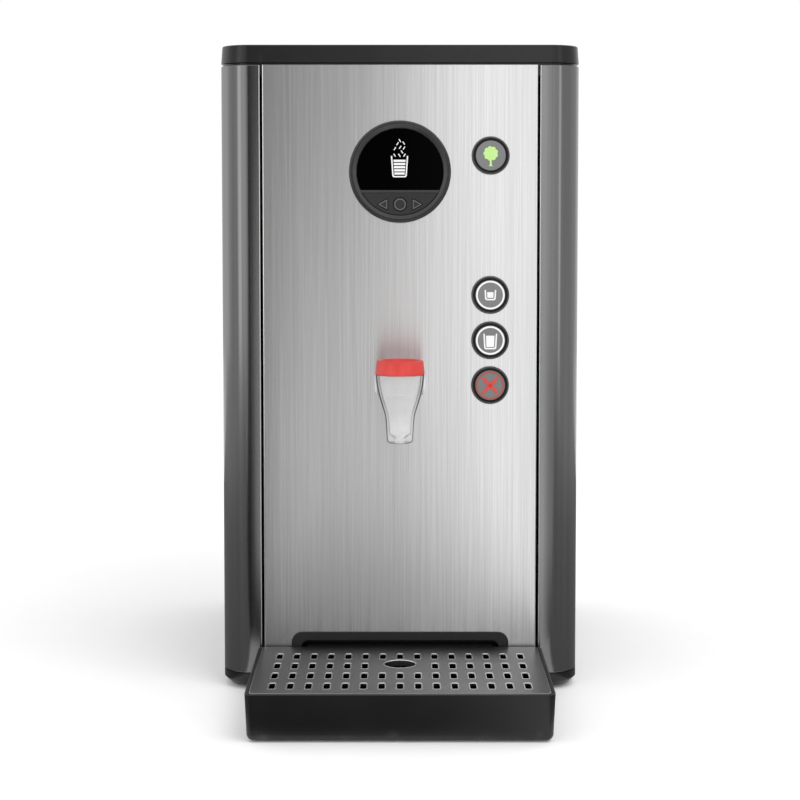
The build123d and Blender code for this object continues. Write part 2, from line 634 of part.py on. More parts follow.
def boiler_lid_screws():
    """Eight bolts, each with its nut, around the tank flange."""
    top = TANK_LID_Z + TANK_LID_THICKNESS
    bolts = []
    for x, y in bolt_places():
        bolt = rod_z(x, y, 322, top + 1, 2.0)
        bolt += hex_z(x, y, top, top + 3, 4.0)
        bolt += hex_z(x, y, TANK_TOP_Z - 4.7, TANK_TOP_Z - 1.5, 4.0)
        bolts.append(bolt)
    return Compound(children=bolts)


def boiler_insulation():
    """Foam jacket around the tank, open where the outlet passes."""
    inner = TANK_R + 0.3
    jacket = rod_z(TANK_X, TANK_Y, 94, 320, inner + INSULATION) - rod_z(TANK_X, TANK_Y, 0, 500, inner)
    jacket -= rod_y(TANK_X, VALVE_Z, -100, TANK_Y, 7.5)
    return jacket


def boiler_bracket():
    """Pressed stand under the tank: a ring on four folded legs."""
    ring = rod_z(TANK_X, TANK_Y, TANK_BOTTOM_Z - 2, TANK_BOTTOM_Z, 66) - rod_z(TANK_X, TANK_Y, 0, 200, 45)
    for angle in (45, 135, 225, 315):
        x = TANK_X + 60 * math.cos(math.radians(angle))
        y = TANK_Y + 60 * math.sin(math.radians(angle))
        ring += block(x - 8, x + 8, y - 1, y + 1, BASE_BOTTOM_Z + 3, TANK_BOTTOM_Z - 1)
        ring += block(x - 8, x + 8, y - 1, y + 14, BASE_BOTTOM_Z + 3, BASE_BOTTOM_Z + 5)
    return ring


def heating_element():
    """Hairpin immersion element with its two screwed glands and terminals."""
    low = 130.0
    bend = Pos(TANK_X, TANK_Y, low) * Rot(-90, 0, 0) * Torus(ELEMENT_HALF, 4.0)
    element = bend & block(-40, 40, 0, 160, low - 60, low)
    top = TANK_LID_Z + TANK_LID_THICKNESS
    for side in (-1, 1):
        x = side * ELEMENT_HALF
        element += rod_z(x, TANK_Y, low, top + 10, 4.0)
        element += hex_z(x, TANK_Y, top, top + 5, 8.0)
        element += rod_z(x, TANK_Y, top + 9, top + 16, 1.8)
    return element


def level_probes():
    """Two electrodes of different length, each in an insulating plug."""
    top = TANK_LID_Z + TANK_LID_THICKNESS
    probes = []
    for x, y, tip in PROBE_PLACES:
        probe = rod_z(x, y, tip, top + 18, 1.5)
        probe += rod_z(x, y, TANK_LID_Z - 4, top + 1, 4.0)
        probe += hex_z(x, y, top, top + 8, 7.0)
        probes.append(probe)
    return Compound(children=probes)


def temperature_sensor():
    """Long probe for the water temperature."""
    top = TANK_LID_Z + TANK_LID_THICKNESS
    x, y = SENSOR_PLACE
    probe = rod_z(x, y, 200, top + 1, 3.0)
    probe += hex_z(x, y, top, top + 6, 6.5)
    return probe + rod_z(x, y, top + 5, top + 14, 3.5)


def boil_dry_thermostat():
    """Manual-reset cut-out clamped on the tank lid."""
    top = TANK_LID_Z + TANK_LID_THICKNESS
    x, y = THERMOSTAT_PLACE
    disc = rod_z(x, y, top, top + 9, 9.0) + rod_z(x, y, top + 8, top + 13, 2.5)
    return disc + block(x - 14, x + 14, y - 2, y + 2, top, top + 1.2)


# ---------------------------------------------------------------- water path


def solenoid_body(x, y, z):
    """Valve body with a guide tube on top, bored for its plunger."""
    body = block(x - 14, x + 14, y - 12, y + 12, z - 12, z + 14)
    body = fillet(body.edges().filter_by(Axis.Z), 3)
    body += rod_z(x, y, z + 13, z + 48, 5.0)
    return body - rod_z(x, y, z + 2, z + 45, 3.6)


def coil_for(x, y, z):
    """Moulded coil that slides over the guide tube, with two blade terminals."""
    coil = block(x - 13, x + 13, y - 13, y + 13, z + 14.5, z + 44)
    coil = fillet(coil.edges().filter_by(Axis.Z), 4)
    coil += block(x + 12, x + 21, y - 6, y - 5.2, z + 26, z + 32)
    coil += block(x + 12, x + 21, y + 5.2, y + 6, z + 26, z + 32)
    return coil - rod_z(x, y, 0, 400, 5.1)


def plunger_for(x, y, z):
    """Sprung iron plunger that lifts off the seat."""
    plunger = rod_z(x, y, z + 2.3, z + 36, 3.4)
    return fillet(plunger.edges().group_by(Axis.Z)[0], 0.8)


def dispense_valve_body():
    """Outlet valve, screwed to the tank outlet and feeding the hose in front."""
    body = solenoid_body(TANK_X, VALVE_Y, VALVE_Z)
    body += rod_y(TANK_X, VALVE_Z, VALVE_Y - 26, VALVE_Y - 11, BARB_R)
    body -= rod_y(TANK_X, VALVE_Z, VALVE_Y - 30, VALVE_Y - 2, 2.6)
    body += rod_y(TANK_X, VALVE_Z, VALVE_Y + 11, VALVE_Y + 15, 8.0)
    return body - rod_y(TANK_X, VALVE_Z, VALVE_Y + 2, VALVE_Y + 20, 2.6)


def inlet_valve_body():
    """Inlet valve: hose thread through the rear panel, body and barb inside."""
    body = solenoid_body(INLET_X, INLET_VALVE_Y, INLET_Z)
    body += rod_y(INLET_X, INLET_Z, INLET_VALVE_Y + 11, REAR_Y - SHEET, 11.0)
    body += rod_y(INLET_X, INLET_Z, REAR_Y - 4.5, REAR_Y - SHEET, 18.0)
    body += rod_y(INLET_X, INLET_Z, REAR_Y - 3, REAR_Y, INLET_THREAD_R + 0.6)
    body += rod_y(INLET_X, INLET_Z, REAR_Y - 1, FITTING_END_Y, INLET_THREAD_R)
    body += rod_y(INLET_X, INLET_Z, INLET_VALVE_Y - 26, INLET_VALVE_Y - 11, BARB_R)
    body -= rod_y(INLET_X, INLET_Z, INLET_VALVE_Y + 16, FITTING_END_Y + 1, 8.5)
    body -= rod_y(INLET_X, INLET_Z, INLET_VALVE_Y + 4, FITTING_END_Y + 1, 2.6)
    return body - rod_y(INLET_X, INLET_Z, INLET_VALVE_Y - 30, INLET_VALVE_Y - 2, 2.6)


def outlet_hose():
    """Silicone hose from the outlet valve up to the spout arm."""
    points = [(TANK_X, -65, 196), (TANK_X, -65, VALVE_Z), (TANK_X, VALVE_Y - 13, VALVE_Z)]
    return tube_along(points, HOSE_R, 12, HOSE_BORE_R)


def inlet_hose():
    """Silicone hose from the inlet valve to the bottom of the tank."""
    points = [
        (INLET_X, INLET_VALVE_Y - 13, INLET_Z), (INLET_X, TANK_Y, INLET_Z),
        (TANK_X, TANK_Y, INLET_Z), (TANK_X, TANK_Y, TANK_BOTTOM_Z - 3)]
    return tube_along(points, HOSE_R, 22, HOSE_BORE_R)


def vent_tube():
    """Stainless vent pipe from the tank lid down to the drain spigot at the rear."""
    x, y = VENT_PLACE
    points = [(x, y, TANK_LID_Z), (x, y, 360), (x, 174, 360), (x, 174, 60)]
    pipe = tube_along(points, 4.0, 9, 3.0)
    collar = rod_z(x, y, TANK_LID_Z + TANK_LID_THICKNESS, TANK_LID_Z + 8, 7.0) - rod_z(x, y, 0, 400, 3.9)
    return pipe + collar


def drain_spigot():
    """Overflow spigot through the rear panel, with a socket for the vent pipe."""
    spigot = rod_y(0, DRAIN_Z, 168, REAR_Y, DRAIN_R + 1.0)
    spigot += rod_y(0, DRAIN_Z, REAR_Y - 1, REAR_Y + 12, DRAIN_R)
    spigot += rod_y(0, DRAIN_Z, REAR_Y - 4, REAR_Y - SHEET, 11.0)
    spigot += rod_z(0, 174, DRAIN_Z, 66, 6.5)
    spigot -= rod_y(0, DRAIN_Z, 172, REAR_Y + 20, 4.0)
    spigot -= rod_z(0, 174, DRAIN_Z, 59.5, 3.0)
    return spigot - rod_z(0, 174, 59.5, 80, 4.1)


# ---------------------------------------------------------------- electrics


def control_board():
    """Main circuit board on the left wall, with relays, transformer and capacitors."""
    board = block(-106, -104.4, -20, 110, 130, 300)
    board += block(-104.6, -94, -10, 20, 140, 165)
    board += block(-104.6, -93, 40, 75, 140, 170)
    board += block(-104.6, -97, 20, 60, 200, 225)
    for row in range(5):
        board += rod_x(85, 200 + 16 * row, -104.6, -96, 5)
    board += block(-104.6, -95, -14, 90, 286, 294)
    return board


def board_standoffs():
    """Four spacers between the left wall and the main board."""
    places = [(y, z) for y in (-14, 104) for z in (136, 294)]
    return Compound(children=[rod_x(y, z, -115.5, -106, 3.5) for y, z in places])


def power_relay():
    """Solid-state relay on its finned heat sink."""
    seat = BASE_BOTTOM_Z + 3
    sink = block(62, 104, 10, 90, seat, seat + 4)
    for fin in range(8):
        x = 63 + fin * 5.4
        sink += block(x, x + 1.6, 10, 90, seat + 3, seat + 26)
    return sink + block(66, 100, 30, 75, seat + 25, seat + 46)


def terminal_block():
    """Mains terminals for live, neutral and earth."""
    seat = BASE_BOTTOM_Z + 3
    strip = block(52, 88, 120, 138, seat, seat + 20)
    for x in (58, 70, 82):
        strip -= rod_z(x, 129, seat + 10, seat + 30, 3.5)
    return strip


def cable_gland():
    """Cable entry: dome nut outside, body and locknut inside."""
    dome = rod_y(GLAND_X, GLAND_Z, REAR_Y, REAR_Y + 13, 11.0)
    dome = fillet(dome.edges().sort_by(Axis.Y)[-1], 3.5)
    gland = dome + rod_y(GLAND_X, GLAND_Z, REAR_Y - 14, REAR_Y + 1, 8.0)
    gland += hex_y(GLAND_X, GLAND_Z, REAR_Y - SHEET - 5, REAR_Y - SHEET, 12.0)
    return gland - rod_y(GLAND_X, GLAND_Z, REAR_Y - 20, REAR_Y + 20, 4.3)


def power_switch_frame():
    """Snap-in frame of the mains switch, open in front for the rocker."""
    frame = slab_y(SWITCH_X - 15.5, SWITCH_X + 15.5, SWITCH_Z - 7.8, SWITCH_Z + 7.8, REAR_Y, REAR_Y + 2, 1.5)
    frame += block(SWITCH_X - 13.5, SWITCH_X + 13.5, REAR_Y - 18, REAR_Y + 1, SWITCH_Z - 6.1, SWITCH_Z + 6.1)
    frame -= block(SWITCH_X - 12.2, SWITCH_X + 12.2, REAR_Y - 9, REAR_Y + 5, SWITCH_Z - 5, SWITCH_Z + 5)
    for x in (SWITCH_X - 8, SWITCH_X, SWITCH_X + 8):
        frame += block(x - 0.4, x + 0.4, REAR_Y - 27, REAR_Y - 17, SWITCH_Z - 3, SWITCH_Z + 3)
    return frame


def power_rocker():
    """Rocker of the mains switch, shown tipped to one side."""
    pivot_y = REAR_Y - 3.0
    low, high = SWITCH_Z - 4.7, SWITCH_Z + 4.7
    rocker = block(SWITCH_X - 11.2, SWITCH_X + 11.2, pivot_y - 1.6, pivot_y + 8, low, high)
    rocker -= rod_z(SWITCH_X, pivot_y + 30.5, 0, 400, 25)
    rocker += rod_z(SWITCH_X, pivot_y, low, high, 2.6)
    turn = Pos(SWITCH_X, pivot_y, 0) * Rot(0, 0, ROCKER_TILT) * Pos(-SWITCH_X, -pivot_y, 0)
    return turn * rocker


# ---------------------------------------------------------------- write every sub-part


def all_parts():
    """Every named piece of the machine."""
    parts = {
        "base_chassis": base_chassis(),
        "rubber_feet": rubber_feet(),
        "left_side_panel": side_panel(-1),
        "right_side_panel": side_panel(1),
        "front_panel": front_panel(),
        "rear_panel": rear_panel(),
        "top_lid": top_lid(),
        "housing_screws": housing_screws(),
        "niche_bezel": niche_bezel(),
        "drip_tray": drip_tray(),
        "drip_grille": drip_grille(),
        "tray_feet": tray_feet(),
        "display_bezel": display_bezel(),
        "display_window": display_window(),
        "keypad_crescent": keypad_crescent(),
        "display_board": display_board(),
        "button_board": button_board(),
        "spout_arm": spout_arm(),
        "spout_nozzle": spout_nozzle(),
        "spout_cap": spout_cap(),
        "spout_gasket": spout_gasket(),
        "spout_nut": spout_nut(),
        "boiler_tank": boiler_tank(),
        "boiler_lid": boiler_lid(),
        "boiler_gasket": boiler_gasket(),
        "boiler_lid_screws": boiler_lid_screws(),
        "boiler_insulation": boiler_insulation(),
        "boiler_bracket": boiler_bracket(),
        "heating_element": heating_element(),
        "level_probes": level_probes(),
        "temperature_sensor": temperature_sensor(),
        "boil_dry_thermostat": boil_dry_thermostat(),
        "dispense_valve_body": dispense_valve_body(),
        "dispense_valve_coil": coil_for(TANK_X, VALVE_Y, VALVE_Z),
        "dispense_plunger": plunger_for(TANK_X, VALVE_Y, VALVE_Z),
        "inlet_valve_body": inlet_valve_body(),
        "inlet_valve_coil": coil_for(INLET_X, INLET_VALVE_Y, INLET_Z),
        "inlet_plunger": plunger_for(INLET_X, INLET_VALVE_Y, INLET_Z),
        "outlet_hose": outlet_hose(),
        "inlet_hose": inlet_hose(),
        "vent_tube": vent_tube(),
        "drain_spigot": drain_spigot(),
        "control_board": control_board(),
        "board_standoffs": board_standoffs(),
        "power_relay": power_relay(),
        "terminal_block": terminal_block(),
        "cable_gland": cable_gland(),
        "power_switch_frame": power_switch_frame(),
        "power_rocker": power_rocker(),
    }
    parts.update(display_keys())
    for name, z in BUTTON_Z.items():
        parts[name + "_bezel"] = button_bezel(z)
        parts[name + "_button"] = push_button(z)
    return parts


os.makedirs("parts", exist_ok=True)
for node, shape in all_parts().items():
    export_step(shape, f"parts/{node}.step")
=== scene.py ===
import contextlib
import json
import math

import bmesh
import bpy
from mathutils import Matrix, Vector

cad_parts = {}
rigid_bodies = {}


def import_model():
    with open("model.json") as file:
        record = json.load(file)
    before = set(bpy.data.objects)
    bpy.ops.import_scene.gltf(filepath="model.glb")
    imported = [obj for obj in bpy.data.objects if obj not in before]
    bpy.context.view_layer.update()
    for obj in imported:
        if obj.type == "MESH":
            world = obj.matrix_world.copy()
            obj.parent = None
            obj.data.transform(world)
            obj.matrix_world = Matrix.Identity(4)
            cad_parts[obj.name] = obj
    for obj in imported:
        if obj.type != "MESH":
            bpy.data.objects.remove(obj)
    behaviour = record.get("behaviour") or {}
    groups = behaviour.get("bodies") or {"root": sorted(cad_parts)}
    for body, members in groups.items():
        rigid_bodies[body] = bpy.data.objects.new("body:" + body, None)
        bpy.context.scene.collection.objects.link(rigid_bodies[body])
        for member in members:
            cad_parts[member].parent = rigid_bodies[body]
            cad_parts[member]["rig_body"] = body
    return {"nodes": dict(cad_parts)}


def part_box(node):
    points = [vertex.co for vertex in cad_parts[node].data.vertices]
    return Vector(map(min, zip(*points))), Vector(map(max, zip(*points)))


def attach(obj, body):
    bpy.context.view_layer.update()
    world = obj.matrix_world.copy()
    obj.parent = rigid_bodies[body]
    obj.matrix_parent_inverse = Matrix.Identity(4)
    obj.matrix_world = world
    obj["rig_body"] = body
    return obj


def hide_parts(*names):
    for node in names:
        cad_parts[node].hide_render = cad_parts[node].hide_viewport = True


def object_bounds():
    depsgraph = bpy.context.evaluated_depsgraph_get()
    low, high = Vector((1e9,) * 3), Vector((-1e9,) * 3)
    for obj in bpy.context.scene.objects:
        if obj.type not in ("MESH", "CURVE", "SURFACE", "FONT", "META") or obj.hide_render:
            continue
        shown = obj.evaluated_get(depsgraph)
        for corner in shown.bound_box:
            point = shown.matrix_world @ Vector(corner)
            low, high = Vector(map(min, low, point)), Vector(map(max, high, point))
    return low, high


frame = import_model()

cad_low, cad_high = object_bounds()
scene = bpy.context.scene
MM = 0.001

# ---------------------------------------------------------------- studio
# A white room with a pale paper floor and one soft lamp. Boards that only mirror-like surfaces
# see stand in front and at both sides and lie on the floor between, round the machine's foot.
# They give the brushed steel its run from dark to bright.

FACE_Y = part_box("front_panel")[0].y
EYE_DISTANCE = 1.161
EYE_HEIGHT = 0.3177
EYE_TILT = math.radians(3.5)
FOCAL = 80.26
SENSOR = 36.0
HORIZON_RISE = 0.2403      # of the view's width, from its middle up to eye level
FLOOR_REACH = 40.0
FLOOR_DROP = 0.0002        # from the feet down to the paper
BOARD_Y = -3.2
BOARD_HALF = 1.5
BOARD_TOP = 1.6
BOARD_LIFT = 0.0001        # from zero height up to the boards on the floor
BOARD_SPAN = 0.34          # how far the boards reach to each side, where they show in the panel
SIDE_BOARD_R = 2.6
FOOT_HALF = 0.125          # where the floor boards begin in front of the machine
FLANK_HALF = 0.121         # and beside it
FLANK_BACK = 0.8
FOOT_GAP = 0.01


def linked(name, data):
    """An object in the scene, made of that data."""
    made = bpy.data.objects.new(name, data)
    scene.collection.objects.link(made)
    return made


view_data = bpy.data.cameras.new("view")
view_data.lens = FOCAL
view_data.sensor_width = SENSOR
view_data.shift_y = math.tan(EYE_TILT) * FOCAL / SENSOR - HORIZON_RISE
view_data.clip_start = 0.05
view_data.clip_end = 120.0
view = linked("view", view_data)
view.location = (0.0, FACE_Y - EYE_DISTANCE, EYE_HEIGHT)
view.rotation_euler = (math.pi / 2 - EYE_TILT, 0.0, 0.0)
scene.camera = view
scene.view_settings.view_transform = "Standard"


class Sock:
    """A node's socket that takes part in arithmetic: an expression adds its Math nodes."""

    def __init__(self, graph, socket):
        self.graph = graph
        self.socket = socket

    def worked(self, operation, *values):
        """The result of one Math node."""
        return self.graph.node("ShaderNodeMath", dict(enumerate(values)), operation=operation)

    def __add__(self, other):
        return self.worked("ADD", self, other)

    def __radd__(self, other):
        return self.worked("ADD", other, self)

    def __sub__(self, other):
        return self.worked("SUBTRACT", self, other)

    def __rsub__(self, other):
        return self.worked("SUBTRACT", other, self)

    def __mul__(self, other):
        return self.worked("MULTIPLY", self, other)

    def __truediv__(self, other):
        return self.worked("DIVIDE", self, other)

    def unsigned(self):
        """The value without its sign."""
        return self.worked("ABSOLUTE", self)

    def clamped(self):
        """The value held between 0 and 1."""
        return self.graph.node("ShaderNodeClamp", {"Value": self})


class Graph:
    """A node tree to which nodes are added one at a time."""

    def __init__(self, tree):
        self.tree = tree
        self.tree.nodes.clear()

    def node(self, kind, inputs, output=0, **settings):
        """A node of that kind: its settings made first, then its sockets set or linked."""
        made = self.tree.nodes.new(kind)
        for name, value in settings.items():
            if name == "stops":
                elements = made.color_ramp.elements
                while len(elements) < len(value):
                    elements.new(0.5)
                for element, (place, colour) in zip(elements, value):
                    element.position = place
                    element.color = (*colour, 1.0)
            else:
                setattr(made, name, value)
        for name, value in inputs.items():
            sources = value if isinstance(value, list) else [value]
            for source in sources:
                if isinstance(source, Sock):
                    self.tree.links.new(source.socket, made.inputs[name])
                else:
                    made.inputs[name].default_value = source
        return None if output is None else Sock(self, made.outputs[output])


class Shader(Graph):
    """One material or room: patterns, colours and the surface that ends it."""

    def spot(self):
        """The point in the piece's own space, in metres."""
        return self.node("ShaderNodeTexCoord", {}, "Object")

    def axes(self):
        """The three coordinates of that point."""
        split = self.node("ShaderNodeSeparateXYZ", {"Vector": self.spot()}).socket.node
        return [Sock(self, split.outputs[i]) for i in range(3)]

    def noise(self, scale, detail=2.0, roughness=0.5, shift=(0.0, 0.0, 0.0)):
        """Cloudy noise between 0 and 1, of one scale or of one for each axis."""
        stretch = scale if isinstance(scale, tuple) else (scale, scale, scale)
        place = self.node("ShaderNodeMapping", {"Vector": self.spot(), "Scale": stretch, "Location": shift})
        inputs = {"Vector": place, "Scale": 1.0, "Detail": detail, "Roughness": roughness}
        return self.node("ShaderNodeTexNoise", inputs)

    def cells(self, scale, feature="F1"):
        """Distance to the nearest of scattered points, or to the border between two of them."""
        inputs = {"Vector": self.spot(), "Scale": scale}
        return self.node("ShaderNodeTexVoronoi", inputs, feature=feature)

    def ramp(self, value, *stops):
        """Colours along a value."""
        return self.node("ShaderNodeValToRGB", {"Fac": value}, "Color", stops=stops)

    def greys(self, value, *stops):
        """Shades of grey along a value."""
        return self.ramp(value, *[(place, (tone, tone, tone)) for place, tone in stops])

    def blend(self, share, first, second):
        """One colour turning into another."""
        mixer = self.node("ShaderNodeMix", {0: share}, 2, data_type="RGBA").socket.node
        for index, colour in ((6, first), (7, second)):
            if isinstance(colour, Sock):
                self.tree.links.new(colour.socket, mixer.inputs[index])
            else:
                mixer.inputs[index].default_value = (*colour, 1.0)
        return Sock(self, mixer.outputs[2])

    def bump(self, height, strength, distance):
        """A height made into a normal."""
        return self.node("ShaderNodeBump", {"Height": height, "Strength": strength, "Distance": distance})

    def surface(self, **sockets):
        """The principled surface at the end of the material."""
        inputs = {}
        for name, value in sockets.items():
            whole = (*value, 1.0) if isinstance(value, tuple) and len(value) == 3 else value
            inputs[name.replace("_", " ")] = whole
        self.end(self.node("ShaderNodeBsdfPrincipled", inputs))

    def glow(self, colour):
        """An even light of that colour at the end of the material."""
        self.end(self.node("ShaderNodeEmission", {"Color": colour, "Strength": 1.0}))

    def end(self, done, kind="ShaderNodeOutputMaterial"):
        """Joins a shader to the output."""
        self.node(kind, {"Surface": done}, None)


def material(name):
    """A new material and the shader that fills it."""
    made = bpy.data.materials.new(name)
    made.use_nodes = True
    return made, Shader(made.node_tree)


def mesh_object(name, points, faces, finish):
    """A mesh with its place in its points."""
    data = bpy.data.meshes.new(name)
    data.from_pydata([tuple(point) for point in points], [], faces)
    data.update()
    data.materials.append(finish)
    return linked(name, data)


def reflector(name, points, faces, finish):
    """A board that shows in reflections only."""
    made = mesh_object(name, points, faces, finish)
    for ray in ("camera", "diffuse", "shadow", "transmission"):
        setattr(made, "visible_" + ray, False)


room_world = bpy.data.worlds.new("room")
room_world.use_nodes = True
scene.world = room_world
room = Shader(room_world.node_tree)
white = {"Color": (1.0, 1.0, 1.0, 1.0), "Strength": 1.0}
room.end(room.node("ShaderNodeBackground", white), "ShaderNodeOutputWorld")

floor_paper, shader = material("floor_paper")
fibres = shader.noise(40.0, 4.0)
shader.surface(Base_Color=shader.greys(fibres, (0.3, 0.965), (0.7, 0.985)), Roughness=0.9,
               Specular_IOR_Level=0.2, Emission_Color=(1.0, 1.0, 1.0), Emission_Strength=0.06)
floor_z = cad_low.z - FLOOR_DROP
floor = mesh_object(
    "floor", [(-FLOOR_REACH, -FLOOR_REACH, floor_z), (FLOOR_REACH, -FLOOR_REACH, floor_z),
              (FLOOR_REACH, FLOOR_REACH, floor_z), (-FLOOR_REACH, FLOOR_REACH, floor_z)],
    [(0, 1, 2, 3)], floor_paper)


def fanned(shader):
    """How far across the flat front panel a board's point shows, from 0 to 1, and the point's y and z."""
    x, y, z = shader.axes()
    mirrored_eye_y = FACE_Y + EYE_DISTANCE
    across = x * EYE_DISTANCE / (mirrored_eye_y - y)
    return ((across + BOARD_SPAN) / (2 * BOARD_SPAN)).clamped(), y, z


def board_tones(shader, across, *stops):
    """Greys along a board, placed where they show in the panel, in millimetres from its middle."""
    span = BOARD_SPAN / MM
    return shader.greys(across, *[((place + span) / (2 * span), tone) for place, tone in stops])


board_light, shader = material("front_board_light")
across, y, z = fanned(shader)
low_tones = board_tones(shader, across, (-340, 0.85), (-250, 0.85), (-240, 0.0), (-90, 0.0), (-87, 1.35),
                        (-78, 1.15), (-66, 0.80), (-12, 0.74), (8, 0.98), (45, 1.25), (80, 1.70), (91, 1.80),
                        (98, 0.95), (215, 0.90), (340, 0.9))
high_tones = board_tones(shader, across, (-340, 0.85), (-250, 0.85), (-240, 0.0), (-90, 0.0), (-87, 0.30),
                         (-78, 0.16), (-60, 0.15), (-15, 0.24), (6, 0.50), (18, 1.30), (80, 1.95), (91, 2.0),
                         (98, 0.95), (215, 0.90), (340, 0.9))
shader.glow(shader.blend(((z - 0.15) / 0.45).clamped(), low_tones, high_tones))
reflector("front_board", [(-BOARD_HALF, BOARD_Y, 0.0), (BOARD_HALF, BOARD_Y, 0.0),
                          (BOARD_HALF, BOARD_Y, BOARD_TOP), (-BOARD_HALF, BOARD_Y, BOARD_TOP)],
          [(0, 1, 2, 3)], board_light)

floor_light, shader = material("floor_board_light")
across, y, z = fanned(shader)
far_tones = board_tones(shader, across, (-340, 0.60), (-250, 0.60), (-240, 0.0), (-90, 0.0), (-87, 1.35),
                        (-78, 1.15), (-66, 0.86), (-12, 0.84), (8, 0.98), (45, 1.20), (80, 1.65), (91, 1.7),
                        (98, 0.70), (215, 0.60), (340, 0.6))
near_tones = board_tones(shader, across, (-340, 0.20), (-240, 0.18), (-230, 0.0), (-92, 0.0), (-60, 0.03),
                         (20, 0.05), (60, 0.50), (92, 1.2), (100, 0.22), (340, 0.22))
shader.glow(shader.blend(((FACE_Y - 0.18 - y) / 0.34).clamped(), near_tones, far_tones))
foot_y = cad_low.y - FOOT_GAP
reflector("floor_board", [(-BOARD_HALF, BOARD_Y, BOARD_LIFT), (BOARD_HALF, BOARD_Y, BOARD_LIFT),
                          (FOOT_HALF, foot_y, BOARD_LIFT), (-FOOT_HALF, foot_y, BOARD_LIFT)],
          [(0, 1, 2, 3)], floor_light)

flank_light, shader = material("flank_floor_light")
away = shader.axes()[0].unsigned()
share = ((away - FLANK_HALF + 0.001) / 1.2).clamped()
shader.glow(shader.greys(share, (0.0, 0.20), (0.5, 0.30), (1.0, 0.6)))
for name, side in (("left_floor_board", -1), ("right_floor_board", 1)):
    corners = [(FOOT_HALF, foot_y), (BOARD_HALF, BOARD_Y), (SIDE_BOARD_R, BOARD_Y),
               (SIDE_BOARD_R, FLANK_BACK), (FLANK_HALF, FLANK_BACK), (FLANK_HALF, FACE_Y - FOOT_GAP)]
    reflector(name, [(side * x, y, BOARD_LIFT) for x, y in corners], [tuple(range(6))], flank_light)


def side_board(name, side, stops):
    """A curved board beside the machine, its light given along the turn from front to back."""
    light, shader = material(name + "_light")
    x, y, z = shader.axes()
    turn = x.worked("ARCTAN2", x * side, y * -1.0) / math.pi
    shader.glow(shader.greys(turn, *[(angle / 180, tone) for angle, tone in stops]))
    angles = [math.radians(22 + 4 * i) for i in range(38)]
    rim = [(side * SIDE_BOARD_R * math.sin(a), -SIDE_BOARD_R * math.cos(a)) for a in angles]
    points = [(x, y, 0.0) for x, y in rim] + [(x, y, BOARD_TOP) for x, y in rim]
    count = len(rim)
    faces = [(i, i + 1, count + i + 1, count + i) for i in range(count - 1)]
    reflector(name, points, faces, light)


side_board("left_board", -1, [(22, 1.15), (37, 0.95), (41, 1.75), (49, 1.85), (53, 0.66),
                              (78, 0.66), (104, 1.25), (150, 0.70)])
side_board("right_board", 1, [(22, 0.84), (37, 0.70), (40, 1.65), (44, 1.65), (48, 0.60),
                              (84, 0.62), (112, 0.72), (140, 1.05), (160, 0.70)])


def lamp(name, place, aim, width, height, power):
    """A soft box aimed at a point."""
    data = bpy.data.lights.new(name, "AREA")
    data.shape = "RECTANGLE"
    data.size = width
    data.size_y = height
    data.energy = power
    made = linked(name, data)
    made.location = place
    made.rotation_euler = (Vector(aim) - Vector(place)).to_track_quat("-Z", "Y").to_euler()
    made.visible_glossy = False


lamp("key_light", (0.9, -1.1, 2.1), (0.0, 0.0, 0.2), 1.4, 1.4, 14.0)

# ---------------------------------------------------------------- base and feet
# The floor of the machine is one charcoal moulding with a thick, round-bottomed edge, spark
# textured where it shows. Four rubber feet push into its corners from below.


def solved(made):
    """The mesh that a curve, or a piece with modifiers, ends up as."""
    bpy.context.view_layer.update()
    return bpy.data.meshes.new_from_object(made.evaluated_get(bpy.context.evaluated_depsgraph_get()))


def applied(made):
    """Works a piece's modifiers into its mesh."""
    data = solved(made)
    made.modifiers.clear()
    made.data = data


@contextlib.contextmanager
def opened(data):
    """A mesh held open for changes and written back after them."""
    mesh = bmesh.new()
    mesh.from_mesh(data)
    yield mesh
    mesh.to_mesh(data)
    mesh.free()


def eased(made, width):
    """Rounds a piece's sharp edges by a bevel of that width, in millimetres."""
    bevel = made.modifiers.new("eased_edges", "BEVEL")
    bevel.width = width * MM
    bevel.segments = 2
    bevel.limit_method = "ANGLE"
    bevel.angle_limit = math.radians(30)
    bevel.use_clamp_overlap = False
    applied(made)


def fitted(made, finish, slot_name, *nodes, sharp=48.0, body=None):
    """Shades a finished piece, sets its finish and lets it ride in place of its CAD nodes."""
    made.data.materials.clear()
    made.data.materials.append(finish)
    made.data.shade_smooth()
    made.data.set_sharp_from_angle(angle=math.radians(sharp))
    weights = made.modifiers.new("flat_faces", "WEIGHTED_NORMAL")
    weights.keep_sharp = True
    applied(made)
    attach(made, body or frame["nodes"][nodes[0]]["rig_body"])
    if nodes:
        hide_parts(*nodes)
    return made


def copied(name, node):
    """A copy of a CAD piece with its doubles merged and its flat faces made whole."""
    data = frame["nodes"][node].data.copy()
    data.name = name
    for layer in list(data.attributes):
        if layer.name == "custom_normal":
            data.attributes.remove(layer)
    with opened(data) as mesh:
        bmesh.ops.remove_doubles(mesh, verts=mesh.verts, dist=2e-6)
        for edge in mesh.edges:
            edge.smooth = True
        bmesh.ops.dissolve_limit(mesh, angle_limit=math.radians(0.4), verts=mesh.verts, edges=mesh.edges)
    return linked(name, data)


def dressed(name, node, finish, slot_name, ease=0.0):
    """A CAD piece carried over with eased edges and its real finish."""
    made = copied(name, node)
    if ease:
        eased(made, ease)
    return fitted(made, finish, slot_name, node)


